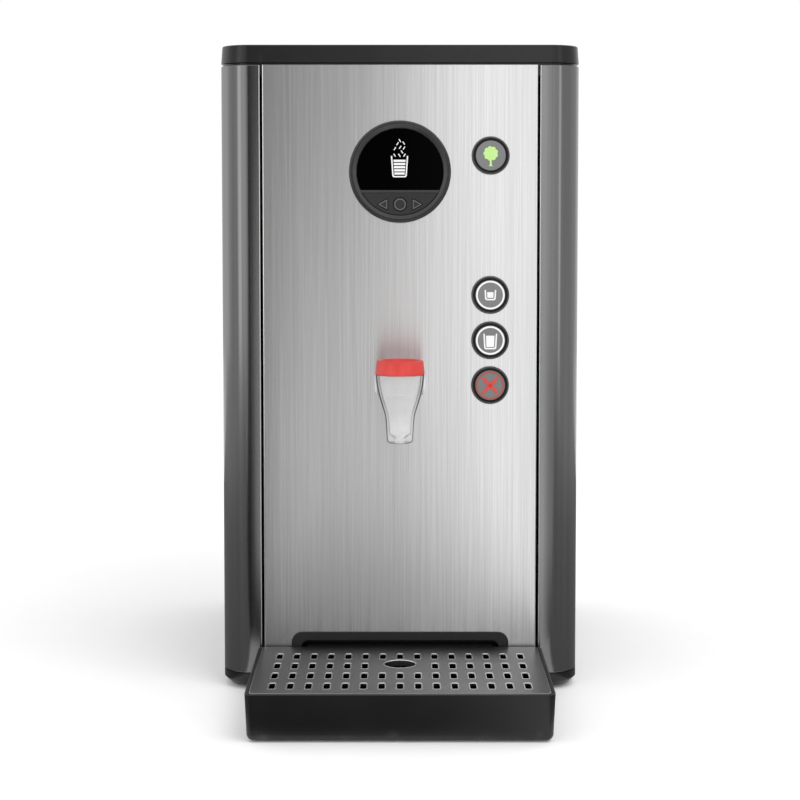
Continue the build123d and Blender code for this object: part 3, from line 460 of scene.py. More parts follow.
def moulded(name, dark, light, roughness, grain=2600.0, depth=0.00005):
    """A moulded plastic: spark-eroded texture, uneven gloss and a faint bloom of handling."""
    finish, shader = material(name)
    spark = shader.noise(grain, 3.0, 0.6)
    cloud = shader.noise(18.0, 4.0)
    scuffs = shader.noise((300.0, 300.0, 40.0), 5.0, 0.7)
    wear = ((scuffs - 0.62) * 6.0).clamped()
    colour = shader.ramp(cloud, (0.3, dark), (0.7, light))
    shader.surface(Base_Color=shader.blend(wear * 0.10, colour, (0.20, 0.20, 0.20)),
                   Roughness=roughness + cloud * 0.10 - wear * 0.08,
                   Normal=shader.bump(spark, 0.5, depth))
    return finish


charcoal_moulding = moulded("charcoal_moulding", (0.0035, 0.0035, 0.0037), (0.006, 0.006, 0.0062), 0.20)
dressed("base_moulding", "base_chassis", charcoal_moulding, "charcoal_plastic")

rubber = moulded("black_rubber", (0.008, 0.008, 0.008), (0.014, 0.014, 0.014), 0.75, 900.0, 0.0001)
dressed("case_feet", "rubber_feet", rubber, "black_rubber", 0.3)

# ---------------------------------------------------------------- side profiles
# Each side is one aluminium extrusion that wraps round to the front and the back, with its
# screw channels inside. It is anodised anthracite, and the die leaves fine upright lines.

anthracite, shader = material("anthracite_anodising")
lines = shader.noise((1400.0, 1400.0, 5.0), 3.0, 0.65)
wide_lines = shader.noise((260.0, 260.0, 1.5))
specks = shader.cells(900.0)
chips = ((0.10 - specks) * 12.0).clamped()
tint = shader.greys(wide_lines * 0.5 + lines * 0.5, (0.32, 0.185), (0.68, 0.235))
shader.surface(Base_Color=shader.blend(chips * 0.25, tint, (0.34, 0.34, 0.345)), Metallic=0.95,
               Roughness=0.13 + lines * 0.06, Normal=shader.bump(lines, 0.05, 0.00004))


def bare_metal(name, scale, tones, roughness, strength, depth):
    """A bare metal, whose one fine pattern sets its shade, its gloss and its surface."""
    finish, shader = material(name)
    lines = shader.noise(scale, 3.0)
    shader.surface(Base_Color=shader.greys(lines, (0.3, tones[0]), (0.7, tones[1])), Metallic=1.0,
                   Roughness=roughness[0] + lines * roughness[1], Normal=shader.bump(lines, strength, depth))
    return finish


def edged(made, finish, inner, outer, depth):
    """Gives the faces at a piece's front edges, between two distances across, their own finish: a lighter
    metal that paints a highlight along them.
    """
    made.data.materials.append(finish)
    for face in made.data.polygons:
        middle = face.center
        if inner * MM < abs(middle.x) < outer * MM and middle.y < FACE_Y + depth * MM:
            face.material_index = 1


EDGE_X = 90.9              # the inner edge of a profile's front flange
EDGE_WIDTH = 0.55
# The inner edge of each front flange gets a much lighter aluminium than the anodised face: a painted
# highlight along that edge.
highlight_aluminium = bare_metal(
    "cut_aluminium_edge", (900.0, 900.0, 30.0), (0.80, 0.92), (0.16, 0.08), 0.05, 0.00003)
for side in ("left", "right"):
    profile = dressed(side + "_profile", side + "_side_panel", anthracite, "side_aluminium", EDGE_WIDTH)
    edged(profile, highlight_aluminium, EDGE_X - 0.1, EDGE_X + EDGE_WIDTH + 0.05, EDGE_WIDTH)

# ---------------------------------------------------------------- front panel
# One stainless sheet, folded back at both long edges and pierced for the spout, the display and
# the buttons. A belt brushes it upright, so it mirrors sharply across and smears up and down.

brushed_front, shader = material("brushed_front_steel")
hairs = shader.noise((2600.0, 200.0, 12.0), 3.0, 0.6)
strokes = shader.noise((700.0, 200.0, 4.0), 3.0, 0.7, shift=(3.0, 0.0, 7.0))
bands = shader.noise((120.0, 50.0, 0.8), 2.0, shift=(11.0, 0.0, 2.0))
grain = hairs * 0.55 + strokes * 0.40 + bands * 0.05
smudges = ((shader.noise(26.0, 5.0, 0.6) - 0.58) * 5.0).clamped()
shader.surface(Base_Color=shader.greys(grain, (0.36, 0.56), (0.50, 0.63), (0.64, 0.70)), Metallic=1.0,
               Roughness=0.245 + smudges * 0.01, Anisotropic=0.85,
               Anisotropic_Rotation=0.25, Normal=shader.bump(grain, 0.04, 0.00004))

PANEL_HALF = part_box("front_panel")[1].x / MM
FOLD_WIDTH = 0.8
FOLD_DEPTH = 1.2
# The folded long edges get a much lighter steel than the brushed face: a painted highlight along them.
highlight_fold = bare_metal("highlight_fold", (900.0, 900.0, 20.0), (0.90, 0.98), (0.14, 0.10), 0.05, 0.00003)
front_sheet = dressed("front_sheet", "front_panel", brushed_front, "brushed_stainless")
edged(front_sheet, highlight_fold, PANEL_HALF - FOLD_WIDTH, PANEL_HALF + 0.1, FOLD_DEPTH)

# ---------------------------------------------------------------- rear panel and screws
# The back is a plainer stainless sheet with two columns of pressed louvres. Eight pan-head
# screws with hexagon sockets hold it to the profiles and the lid.

SCREW_PLACES = [(x, z) for x in (-98, 98) for z in (30, 210, 395)] + [(-70, 407), (70, 407)]
SCREW_HEAD_R = 3.4
SCREW_HEAD_HEIGHT = 2.2
SOCKET_R = 1.35
SOCKET_DEPTH = 1.2
SCREW_SHANK = 7.0

brushed_rear, shader = material("brushed_rear_steel")
hairs = shader.noise((1800.0, 200.0, 9.0), 3.0, 0.6)
cloud = shader.noise(12.0, 4.0)
shader.surface(Base_Color=shader.greys(hairs * 0.7 + cloud * 0.3, (0.35, 0.50), (0.65, 0.60)),
               Metallic=1.0, Roughness=0.32 + hairs * 0.10, Normal=shader.bump(hairs, 0.08, 0.00004))
dressed("rear_sheet", "rear_panel", brushed_rear, "brushed_stainless")

bright_steel, shader = material("bright_fastener_steel")
turning = shader.noise((900.0, 900.0, 900.0), 3.0)
cloud = shader.noise(60.0, 3.0)
shader.surface(Base_Color=shader.greys(cloud, (0.3, 0.50), (0.7, 0.66)), Metallic=1.0,
               Roughness=0.22 + turning * 0.16, Normal=shader.bump(turning, 0.10, 0.00003))


def turned(name, profile, steps=96):
    """A piece turned on a lathe about an upright axis: a closed profile of radius and height."""
    data = bpy.data.meshes.new(name)
    with opened(data) as mesh:
        rings = []
        for radius, height in profile:
            count = steps if radius > 1e-6 else 1
            rings.append([mesh.verts.new((radius * math.cos(math.tau * i / count) * MM,
                                          radius * math.sin(math.tau * i / count) * MM,
                                          height * MM)) for i in range(count)])
        for first, second in zip(rings, rings[1:] + rings[:1]):
            for i in range(steps):
                corners = [first[i % len(first)], first[(i + 1) % len(first)],
                           second[(i + 1) % len(second)], second[i % len(second)]]
                whole = list(dict.fromkeys(corners))
                if len(whole) > 2:
                    mesh.faces.new(whole)
        bmesh.ops.recalc_face_normals(mesh, faces=mesh.faces)
    return linked(name, data)


def geometry_tree(name, inputs):
    """A Geometry Nodes tree with named inputs: the tree, its graph and the inputs' sockets."""
    tree = bpy.data.node_groups.new(name, "GeometryNodeTree")
    graph = Graph(tree)
    tree.interface.new_socket("Geometry", in_out="OUTPUT", socket_type="NodeSocketGeometry")
    tree.interface.new_socket("Geometry", in_out="INPUT", socket_type="NodeSocketGeometry")
    for title, kind in inputs.items():
        tree.interface.new_socket(title, in_out="INPUT", socket_type="NodeSocket" + kind)
    entry = tree.nodes.new("NodeGroupInput")
    return tree, graph, {socket.name: Sock(graph, socket) for socket in entry.outputs if socket.name}


def ended(graph, geometry, finish):
    """Makes a tree's instances real, gives them their finish and ends the tree."""
    real = graph.node("GeometryNodeRealizeInstances", {"Geometry": geometry})
    done = graph.node("GeometryNodeSetMaterial", {"Geometry": real, "Material": finish})
    graph.node("NodeGroupOutput", {"Geometry": done}, None)


def grown(made, tree, values):
    """Runs a tree on a piece with its named inputs and keeps the result as a plain mesh."""
    maker = made.modifiers.new(tree.name, "NODES")
    maker.node_group = tree
    for item in tree.interface.items_tree:
        if item.in_out == "INPUT" and item.name in values:
            maker[item.identifier] = values[item.name]
    applied(made)


fastener_tree, graph, given = geometry_tree(
    "fasteners_at_points", {"Fastener": "Object", "Turn": "Vector", "Finish": "Material"})
head = graph.node("GeometryNodeObjectInfo", {"Object": given["Fastener"]}, "Geometry")
spin = graph.node("FunctionNodeRandomValue", {2: 0.0, 3: math.pi, "Seed": 4}, 1, data_type="FLOAT")
twist = graph.node("ShaderNodeCombineXYZ", {"Z": spin})
placed = graph.node("GeometryNodeInstanceOnPoints", {
    "Points": given["Geometry"], "Instance": head, "Rotation": given["Turn"]})
twisted = graph.node("GeometryNodeRotateInstances", {"Instances": placed, "Rotation": twist})
ended(graph, twisted, given["Finish"])


def fasteners(name, places, pattern, turn, finish):
    """One mesh of like fasteners, each turned at random about its own axis."""
    made = mesh_object(name, places, [], finish)
    grown(made, fastener_tree, {"Fastener": pattern, "Turn": turn, "Finish": finish})
    bpy.data.objects.remove(pattern)
    return made


def hexagon_reach(index, steps, radius):
    """How far a hexagon's side is from its centre in one of the lathe's directions."""
    angle = math.tau * index / steps
    return radius * math.cos(math.pi / 6) / math.cos((angle % (math.pi / 3)) - math.pi / 6)


def socket_head(name, radius, height, socket, depth, shank, steps=24):
    """A pan-head screw with a hexagon socket, standing on its seat."""
    dome = [(0, -shank), (radius * 0.40, -shank), (radius * 0.40, 0), (radius, 0), (radius, height * 0.35),
            (radius * 0.90, height * 0.74), (radius * 0.70, height * 0.94), (radius * 0.55, height),
            (socket, height), (socket * 0.96, height - depth), (0, height - depth)]
    made = turned(name, dome, steps)
    for vertex in made.data.vertices:
        reach = math.hypot(vertex.co.x, vertex.co.y) / MM
        if 0.1 < reach < socket * 1.02 and vertex.co.z > 0:
            step = round(math.atan2(vertex.co.y, vertex.co.x) / math.tau * steps)
            grow = hexagon_reach(step, steps, socket * 1.12) / reach
            vertex.co.x *= grow
            vertex.co.y *= grow
    return made


screw = socket_head("pan_head", SCREW_HEAD_R, SCREW_HEAD_HEIGHT, SOCKET_R, SOCKET_DEPTH, SCREW_SHANK)
seat_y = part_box("housing_screws")[1].y - SCREW_HEAD_HEIGHT * MM
screw_seats = [(x * MM, seat_y, z * MM) for x, z in SCREW_PLACES]
screws = fasteners("case_screws", screw_seats, screw, (-math.pi / 2, 0.0, 0.0), bright_steel)
fitted(screws, bright_steel, "bright_steel", "housing_screws")

# ---------------------------------------------------------------- lid
# The lid is a shallow charcoal moulding whose skirt drops inside the panels. Its outer edge is
# soft, and a black shadow gap shows where it meets the case.

dressed("lid_moulding", "top_lid", charcoal_moulding, "charcoal_plastic", 0.35)

# ---------------------------------------------------------------- niche frame
# A black satin frame clips into the doorway of the front panel and carries the shallow box
# that the tongue of the tray slides into.

satin_black = moulded(
    "satin_black_moulding", (0.008, 0.008, 0.0085), (0.012, 0.012, 0.0125), 0.34, 3200.0, 0.00003)
dressed("niche_frame", "niche_bezel", satin_black, "black_plastic", 0.3)

# ---------------------------------------------------------------- drip tray
# A deep charcoal tray with drafted walls. Water dries on its floor and leaves a faint scale,
# and four thin pads under it keep it from sliding.

SCALE_TOP = 0.008          # above the tray's lowest point
SCALE_FADE = 0.006

tray_moulding, shader = material("tray_moulding")
spark = shader.noise(2600.0, 3.0, 0.6)
cloud = shader.noise(22.0, 4.0)
scale_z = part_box("drip_tray")[0].z + SCALE_TOP
depth_share = ((scale_z - shader.axes()[2]) / SCALE_FADE).clamped()
scale_marks = ((shader.noise(55.0, 6.0, 0.65) - 0.55) * 5.0).clamped()
colour = shader.greys(cloud, (0.3, 0.004), (0.7, 0.007))
shader.surface(Base_Color=shader.blend(scale_marks * depth_share * 0.12, colour, (0.35, 0.34, 0.32)),
               Roughness=0.30 + cloud * 0.12, Normal=shader.bump(spark, 0.5, 0.00005))
dressed("tray_moulding_body", "drip_tray", tray_moulding, "charcoal_plastic", 0.35)
dressed("tray_pads", "tray_feet", rubber, "black_rubber", 0.2)

# ---------------------------------------------------------------- drip grille
# A pressed stainless plate over the tray, pierced by rows of round-ended slots with rolled rims, with a
# collared hole under the spout and a rolled bead along its back edge. The plate gets a dark copy of the
# steel, as painted shade, and the rims and collar a light copy, as painted highlights.

SLOT_WIDTH = 4.0
SLOT_LENGTH = 14.0
SLOT_CORNER = 1.3
SLOT_PITCH_X = 11.05
SLOT_PITCH_Y = 23.7
SLOT_COLUMNS = 15
SLOT_ROWS = 4
FIRST_ROW = 29.2           # from the face of the case
DRAIN_HOLE_R = 10.0
RIM_R = 0.5

# A dark copy of the stainless: painted shade over the whole plate.
shaded_grille_steel, shader = material("shaded_grille_steel")
hairs = shader.noise((9.0, 1500.0, 200.0), 3.0, 0.6)
cloud = shader.noise(30.0, 4.0)
drops = shader.cells(160.0)
dried = ((0.16 - drops) * 14.0).clamped()
shader.surface(Base_Color=shader.greys(hairs * 0.6 + cloud * 0.4, (0.35, 0.20), (0.65, 0.26)), Metallic=1.0,
               Roughness=0.30 + hairs * 0.10 + dried * 0.10, Normal=shader.bump(hairs, 0.08, 0.00004))
dressed("grille_plate", "drip_grille", shaded_grille_steel, "grille_stainless")

# A light copy of the same stainless: painted highlights on the rolled rims and the collar.
highlight_rim_steel = bare_metal("rolled_rim_steel", 700.0, (0.62, 0.78), (0.20, 0.12), 0.06, 0.00003)
rim_tree, graph, given = geometry_tree("rolled_slot_rims", {
    "Slot Width": "Float", "Slot Length": "Float", "Corner": "Float", "Pitch Across": "Float",
    "Pitch Along": "Float", "Columns": "Int", "Rows": "Int", "Middle": "Vector", "Drain": "Vector",
    "Drain Gap": "Float", "Drain Radius": "Float", "Rim": "Float", "Finish": "Material"})
sizes = {"Width": given["Slot Width"], "Height": given["Slot Length"]}
outline = graph.node("GeometryNodeCurvePrimitiveQuadrilateral", sizes)
corners = {"Curve": outline, "Radius": given["Corner"], "Count": 3, "Limit Radius": True}
outline = graph.node("GeometryNodeFilletCurve", corners, mode="POLY")
wire = graph.node("GeometryNodeCurvePrimitiveCircle", {"Resolution": 6, "Radius": given["Rim"]})
rim = graph.node("GeometryNodeCurveToMesh", {"Curve": outline, "Profile Curve": wire})
extent = {"Size X": (given["Columns"] - 1.0) * given["Pitch Across"],
          "Size Y": (given["Rows"] - 1.0) * given["Pitch Along"],
          "Vertices X": given["Columns"], "Vertices Y": given["Rows"]}
grid = graph.node("GeometryNodeMeshGrid", extent)
grid = graph.node("GeometryNodeTransform", {"Geometry": grid, "Translation": given["Middle"]})
where = graph.node("GeometryNodeInputPosition", {})
gap = graph.node("ShaderNodeVectorMath", {0: where, 1: given["Drain"]}, "Value", operation="DISTANCE")
kept = gap.worked("GREATER_THAN", gap, given["Drain Gap"])
rims = graph.node("GeometryNodeInstanceOnPoints", {"Points": grid, "Selection": kept, "Instance": rim})
ring = graph.node("GeometryNodeCurvePrimitiveCircle", {"Resolution": 64, "Radius": given["Drain Radius"]})
ring = graph.node("GeometryNodeCurveToMesh", {"Curve": ring, "Profile Curve": wire})
ring = graph.node("GeometryNodeTransform", {"Geometry": ring, "Translation": given["Drain"]})
joined = graph.node("GeometryNodeJoinGeometry", {"Geometry": [rims, ring]})
ended(graph, joined, given["Finish"])


def middle_of(node):
    """The middle of a CAD piece's box, in metres."""
    low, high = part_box(node)
    return [(low[i] + high[i]) / 2 for i in range(3)]


rim_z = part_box("drip_grille")[1].z - 0.7 * RIM_R * MM
middle_y = FACE_Y - (FIRST_ROW + (SLOT_ROWS - 1) / 2 * SLOT_PITCH_Y) * MM
drain_y = middle_of("spout_nozzle")[1]
rims_piece = mesh_object("slot_rims", [(0.0, drain_y, rim_z)], [], highlight_rim_steel)
grown(rims_piece, rim_tree, {
    "Slot Width": (SLOT_WIDTH + RIM_R) * MM, "Slot Length": (SLOT_LENGTH + RIM_R) * MM,
    "Corner": (SLOT_CORNER + RIM_R / 2) * MM,
    "Pitch Across": SLOT_PITCH_X * MM, "Pitch Along": SLOT_PITCH_Y * MM, "Columns": SLOT_COLUMNS,
    "Rows": SLOT_ROWS, "Middle": (0.0, middle_y, rim_z), "Drain": (0.0, drain_y, rim_z),
    "Drain Gap": 1.4 * SLOT_PITCH_X * MM, "Drain Radius": (DRAIN_HOLE_R + 0.2) * MM,
    "Rim": RIM_R * MM, "Finish": highlight_rim_steel})
fitted(rims_piece, highlight_rim_steel, "grille_stainless", body="grille")

# ---------------------------------------------------------------- display
# A stepped ring clamps in the panel round a gloss-black window with one flat side. Below it a
# fixed crescent holds three small push keys, and the window lights a tumbler with rising steam.

GLASS_EDGE = 0.35
SEAT_R = 28.6              # where the visible ring takes over from the seat inside it
display_x, _, display_z = [place / MM for place in middle_of("display_bezel")]

ring_plastic = moulded("ring_moulding", (0.022, 0.022, 0.0225), (0.034, 0.034, 0.0345), 0.22, 3200.0, 0.00002)
key_plastic = moulded("key_moulding", (0.010, 0.010, 0.0105), (0.015, 0.015, 0.0155), 0.38, 3000.0, 0.00003)


def facing_front(name, profile, x, z, steps=96):
    """A lathe piece that faces front on a centre, its profile's depth counted forwards of the panel."""
    made = turned(name, [(radius, depth - FACE_Y / MM) for radius, depth in profile], steps)
    made.data.transform(Matrix.Translation((x * MM, 0.0, z * MM)) @ Matrix.Rotation(math.pi / 2, 4, "X"))
    return made


ring = facing_front("display_ring", [
    (28.15, -9.0), (28.15, 2.1), (28.45, 2.5), (30.2, 3.2), (30.6, 3.3), (30.9, 3.1), (31.1, 2.2),
    (31.5, 2.2), (31.7, 2.6), (32.1, 2.5), (32.7, 1.95), (33.05, 1.45), (33.1, 1.1), (33.1, 0.0),
    (31.3, 0.0), (31.3, -9.0)], display_x, display_z, 144)
fitted(ring, ring_plastic, "ring_plastic", "display_bezel", sharp=20.0)

# The ring's inner seat, which carries the window, keeps its CAD shape.
seat = copied("display_seat", "display_bezel")
with opened(seat.data) as mesh:
    outside = [v for v in mesh.verts
               if math.hypot(v.co.x / MM - display_x, v.co.z / MM - display_z) > SEAT_R]
    bmesh.ops.delete(mesh, geom=outside, context="VERTS")
fitted(seat, ring_plastic, "ring_plastic", body="housing")

window_gloss, shader = material("window_gloss_black")
polish = shader.noise(9.0, 3.0)
lint = shader.cells(700.0)
dust = ((0.045 - lint) * 20.0).clamped()
shader.surface(Base_Color=shader.blend(dust * 0.3, (0.0004, 0.0004, 0.0005), (0.03, 0.03, 0.03)),
               Roughness=0.05 + polish * 0.03 + dust * 0.2, Specular_IOR_Level=0.02,
               Normal=shader.bump(polish, 0.02, 0.0002))
dressed("window_glass", "display_window", window_gloss, "display_gloss", GLASS_EDGE)
dressed("key_crescent", "keypad_crescent", key_plastic, "keypad_plastic", 0.25)


def lit(name, colour, strength):
    """Artwork lit from behind: an even light with the faint cells of its diffuser."""
    finish, shader = material(name)
    diffuser = shader.noise(1500.0)
    dim = tuple(channel * 0.9 for channel in colour)
    shader.surface(Base_Color=(0.02, 0.02, 0.02), Roughness=0.35, Emission_Strength=strength,
                   Emission_Color=shader.ramp(diffuser, (0.3, dim), (0.6, colour)))
    return finish


def artwork(name, loops, depth, finish, slot_name, body, thickness=0.05):
    """Flat artwork facing front, from closed loops in millimetres; a loop inside another is a hole."""
    curve = bpy.data.curves.new(name, "CURVE")
    curve.dimensions = "2D"
    curve.fill_mode = "BOTH"
    curve.extrude = thickness / 2 * MM
    for loop in loops:
        line = curve.splines.new("POLY")
        line.points.add(len(loop) - 1)
        line.use_cyclic_u = True
        for point, (x, z) in zip(line.points, loop):
            point.co = (x * MM, z * MM, 0.0, 1.0)
    drawn = linked(name + "_line", curve)
    data = solved(drawn)
    bpy.data.objects.remove(drawn)
    lift = Matrix.Translation((0.0, FACE_Y - depth * MM, 0.0))
    data.transform(lift @ Matrix.Rotation(math.pi / 2, 4, "X"))
    with opened(data) as mesh:
        bmesh.ops.remove_doubles(mesh, verts=mesh.verts, dist=1e-7)
        bmesh.ops.recalc_face_normals(mesh, faces=mesh.faces)
    return fitted(linked(name, data), finish, slot_name, body=body)


def round_loop(x, z, radius, count=72):
    """A circle as a closed loop."""
    return [(x + radius * math.cos(math.tau * i / count), z + radius * math.sin(math.tau * i / count))
            for i in range(count)]


def bar_loop(x0, z0, x1, z1, width, steps=6):
    """A stroke with round ends as a closed loop."""
    heading = math.atan2(z1 - z0, x1 - x0)
    loop = []
    for (x, z), start in (((x1, z1), heading - math.pi / 2), ((x0, z0), heading + math.pi / 2)):
        for i in range(steps + 1):
            angle = start + math.pi * i / steps
            loop.append((x + width / 2 * math.cos(angle), z + width / 2 * math.sin(angle)))
    return loop


def tumbler_loop(x, top, bottom, half_top, half_bottom, wall):
    """An open tumbler drawn as one thick line: down one side, round the bottom and up the other."""
    outer = [(x - half_top, top), (x - half_bottom, bottom + 1.2), (x - half_bottom + 0.35, bottom + 0.35),
             (x - half_bottom + 1.2, bottom), (x + half_bottom - 1.2, bottom),
             (x + half_bottom - 0.35, bottom + 0.35), (x + half_bottom, bottom + 1.2), (x + half_top, top)]
    inner = [(x + half_top - wall, top), (x + half_bottom - wall, bottom + 1.5),
             (x + half_bottom - wall - 0.5, bottom + wall), (x - half_bottom + wall + 0.5, bottom + wall),
             (x - half_bottom + wall, bottom + 1.5), (x - half_top + wall, top)]
    return outer + inner


WINDOW_FACE = 1.60         # forwards of the panel
KEY_FACE = 2.30
symbol_white = lit("symbol_white", (1.0, 1.0, 1.0), 0.96)
TUMBLER_X = display_x - 0.3
TUMBLER_TOP = display_z + 10.2
TUMBLER_BOTTOM = display_z - 3.6
symbol = [tumbler_loop(TUMBLER_X, TUMBLER_TOP, TUMBLER_BOTTOM, 5.6, 4.7, 0.85)]
for level in range(5):
    height = TUMBLER_BOTTOM + 1.75 + level * 2.05
    half = 3.35 + level * 0.14
    symbol.append([(TUMBLER_X - half, height), (TUMBLER_X + half, height),
                   (TUMBLER_X + half, height + 1.4), (TUMBLER_X - half, height + 1.4)])
PUFFS = ((-3.2, 0.5, 1), (-0.1, 0.4, 1), (3.2, 0.5, -1), (1.6, 2.6, 1), (-3.0, 4.7, -1), (0.4, 5.6, -1),
         (2.9, 5.1, -1), (-1.3, 7.9, -1), (2.7, 8.3, 1), (0.2, 9.9, 1))
for drift, rise, lean in PUFFS:
    puff_x = TUMBLER_X + drift
    puff_z = TUMBLER_TOP + rise
    symbol.append(bar_loop(puff_x + 0.45 * lean, puff_z - 0.7, puff_x - 0.45 * lean, puff_z + 0.7, 0.62))
artwork("tumbler_symbol", symbol, WINDOW_FACE + 0.03, symbol_white, "display_gloss", "housing")

key_print, shader = material("key_print_grey")
worn = shader.noise(900.0, 3.0)
shader.surface(Base_Color=shader.greys(worn, (0.3, 0.085), (0.7, 0.125)), Roughness=0.4 + worn * 0.1,
               Normal=shader.bump(worn, 0.1, 0.00002))


def arrow_loops(x, z, side):
    """The outline of an arrow head that points to one side: its edge, and the hole in it."""
    outer = [(x + side * 4.0, z), (x - side * 1.9, z + 3.2), (x - side * 1.9, z - 3.2)]
    inner = [(x + side * 2.85, z), (x - side * 1.35, z + 2.25), (x - side * 1.35, z - 2.25)]
    return [outer, inner]


for key in ("key_left", "key_ok", "key_right"):
    key_x, _, key_z = [place / MM for place in middle_of(key)]
    dressed(key + "_cap", key, key_plastic, "keypad_plastic", 0.2)
    if key == "key_ok":
        loops = [round_loop(key_x, key_z, 3.7), round_loop(key_x, key_z, 3.1)]
    else:
        side = math.copysign(1, key_x)
        loops = arrow_loops(key_x - side * 1.1, key_z, side)
    body = frame["nodes"][key]["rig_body"]
    artwork(key + "_print", loops, KEY_FACE + 0.02, key_print, "keypad_plastic", body)

# ---------------------------------------------------------------- push buttons
# Each button is a dished grey face with a raised ring pressed into the panel round it; a near-black ring,
# darker than rubber, fills the gap between them as painted shade. The two cups and the stop cross light up
# inside a ring; the tree saves energy.

BUTTONS = ("eco", "small_cup", "large_cup", "stop")
FACE_R = 9.7
SYMBOL_DEPTH = 2.02
button_grey = moulded(
    "button_face_grey", (0.165, 0.167, 0.168), (0.19, 0.192, 0.193), 0.42, 3000.0, 0.00002)
bezel_plastic = moulded("bezel_moulding", (0.05, 0.05, 0.051), (0.07, 0.07, 0.071), 0.30, 3200.0, 0.00002)
gap_shade_black = moulded("gap_shade_black", (0.002, 0.002, 0.002), (0.004, 0.004, 0.004), 0.5, 3000.0, 0.00002)
symbol_green = lit("symbol_green", (0.60, 0.93, 0.30), 0.95)
symbol_red = lit("symbol_red", (0.78, 0.055, 0.040), 0.85)
ring_red = lit("ring_red", (0.44, 0.085, 0.060), 0.85)


def crown_loop(x, z, radius, lobes):
    """A leafy crown: a circle with soft lobes round it."""
    loop = []
    for i in range(lobes * 8):
        angle = math.tau * i / (lobes * 8)
        reach = radius * (0.86 + 0.14 * abs(math.sin(lobes * angle / 2)) ** 0.8)
        loop.append((x + reach * math.cos(angle), z + reach * math.sin(angle)))
    return loop


def button_symbol(name, x, z):
    """The symbol's name, its loops and its finish, for each button."""
    ring = [round_loop(x, z, 9.30), round_loop(x, z, 8.20)]
    if name == "eco":
        trunk = [(x - 1.5, z - 6.9), (x - 0.7, z - 6.2), (x - 0.5, z - 2.0), (x + 0.5, z - 2.0),
                 (x + 0.7, z - 6.2), (x + 1.5, z - 6.9)]
        return [("eco_crown", [crown_loop(x, z + 1.3, 4.8, 9)], symbol_green),
                ("eco_trunk", [trunk], symbol_green)]
    if name == "stop":
        reach = 4.1
        strokes = [[bar_loop(x - reach, z - rise, x + reach, z + rise, 2.2)] for rise in (reach, -reach)]
        return [("stop_stroke", strokes[0], symbol_red), ("stop_counter_stroke", strokes[1], symbol_red),
                ("stop_ring", ring, ring_red)]
    if name == "small_cup":
        cup = tumbler_loop(x, z + 3.3, z - 3.4, 3.8, 3.5, 0.9)
        water = [(x - 2.05, z + 1.9), (x - 1.95, z - 1.8), (x + 1.95, z - 1.8), (x + 2.05, z + 1.9)]
    else:
        cup = tumbler_loop(x, z + 4.4, z - 5.8, 4.5, 4.0, 0.9)
        water = [(x - 2.75, z + 3.1), (x - 2.5, z - 4.3), (x + 2.5, z - 4.3), (x + 2.75, z + 3.1)]
    return [(name + "_symbol", [cup, water], symbol_white), (name + "_ring", ring, symbol_white)]


for name in BUTTONS:
    x, _, z = [place / MM for place in middle_of(name + "_bezel")]
    bezel = facing_front(name + "_ring_frame", [
        (10.42, -8.5), (10.42, -0.4), (11.05, -0.4), (11.15, 1.1), (11.4, 1.5), (11.8, 1.6), (12.15, 1.4),
        (12.35, 1.0), (12.35, 0.0), (11.5, 0.0), (11.5, -8.5)], x, z)
    fitted(bezel, bezel_plastic, "ring_plastic", name + "_bezel", sharp=25.0)
    body = frame["nodes"][name + "_button"]["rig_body"]
    face = facing_front(name + "_face", [
        (0, -14.1), (2.0, -14.1), (2.0, -10.4), (11.2, -10.4), (11.2, -9.0), (FACE_R, -9.0), (FACE_R, 1.55),
        (FACE_R - 0.15, 1.85), (FACE_R - 0.5, 2.0), (FACE_R - 1.1, 1.98), (FACE_R - 1.5, 1.90),
        (0, 1.90)], x, z)
    fitted(face, button_grey, "button_grey", name + "_button", sharp=35.0)
    # A near-black ring at the bottom of the gap round the face: painted shade.
    shroud = facing_front(name + "_shadow_gasket", [
        (FACE_R + 0.05, -3.0), (FACE_R + 0.05, 0.1), (11.0, 0.1), (11.0, -0.35), (10.40, -0.35),
        (10.40, -3.0)], x, z, 72)
    fitted(shroud, gap_shade_black, "black_rubber", body="housing")
    for title, loops, finish in button_symbol(name, x, z):
        artwork(title, loops, SYMBOL_DEPTH, finish, "button_grey", body, 0.24 if "ring" in title else 0.22)

# ---------------------------------------------------------------- spout
# A clear conical nozzle hangs under a red push-on cap. A white moulded arm carries it and runs
# through the panel, where a flat seal and a hexagon nut hold it.

SPOUT_X, SPOUT_Y, _ = middle_of("spout_nozzle")
NOZZLE_WALL = 1.6
tip_z, rim_z = [corner.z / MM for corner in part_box("spout_nozzle")]
low_z, top_z = [corner.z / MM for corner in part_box("spout_cap")]

clear_plastic, shader = material("clear_nozzle_plastic")
flow = shader.noise((220.0, 220.0, 55.0), 3.0)
limescale = ((shader.noise(300.0, 5.0, 0.7) - 0.62) * 5.0).clamped()
# Where the surface turns edge-on to the view it goes near-black and opaque: a painted dark outline.
edge_on = shader.node("ShaderNodeLayerWeight", {"Blend": 0.5}, "Facing")
dark_outline_share = ((edge_on - 0.58) * 9.0).clamped()
clear = shader.greys(flow, (0.3, 0.88), (0.7, 0.98))
shader.surface(Base_Color=shader.blend(dark_outline_share, clear, (0.006, 0.006, 0.006)),
               IOR=1.47, Roughness=0.05 + limescale * 0.10, Alpha=0.26 + dark_outline_share * 0.74,
               Normal=shader.bump(flow, 0.02, 0.00003))


def upright(made):
    """Puts a lathe piece on the spout's upright axis."""
    made.data.transform(Matrix.Translation((SPOUT_X, SPOUT_Y, 0.0)))
    return made


def smoothed(points, parts=8):
    """A smooth line through a few points."""
    line = []
    padded = [points[0]] + points + [points[-1]]
    for p0, p1, p2, p3 in zip(padded, padded[1:], padded[2:], padded[3:]):
        for i in range(parts):
            t = i / parts
            line.append(tuple(0.5 * (2 * b + (c - a) * t + (2 * a - 5 * b + 4 * c - d) * t * t
                                     + (3 * b - a - 3 * c + d) * t ** 3)
                              for a, b, c, d in zip(p0, p1, p2, p3)))
    return line + [points[-1]]


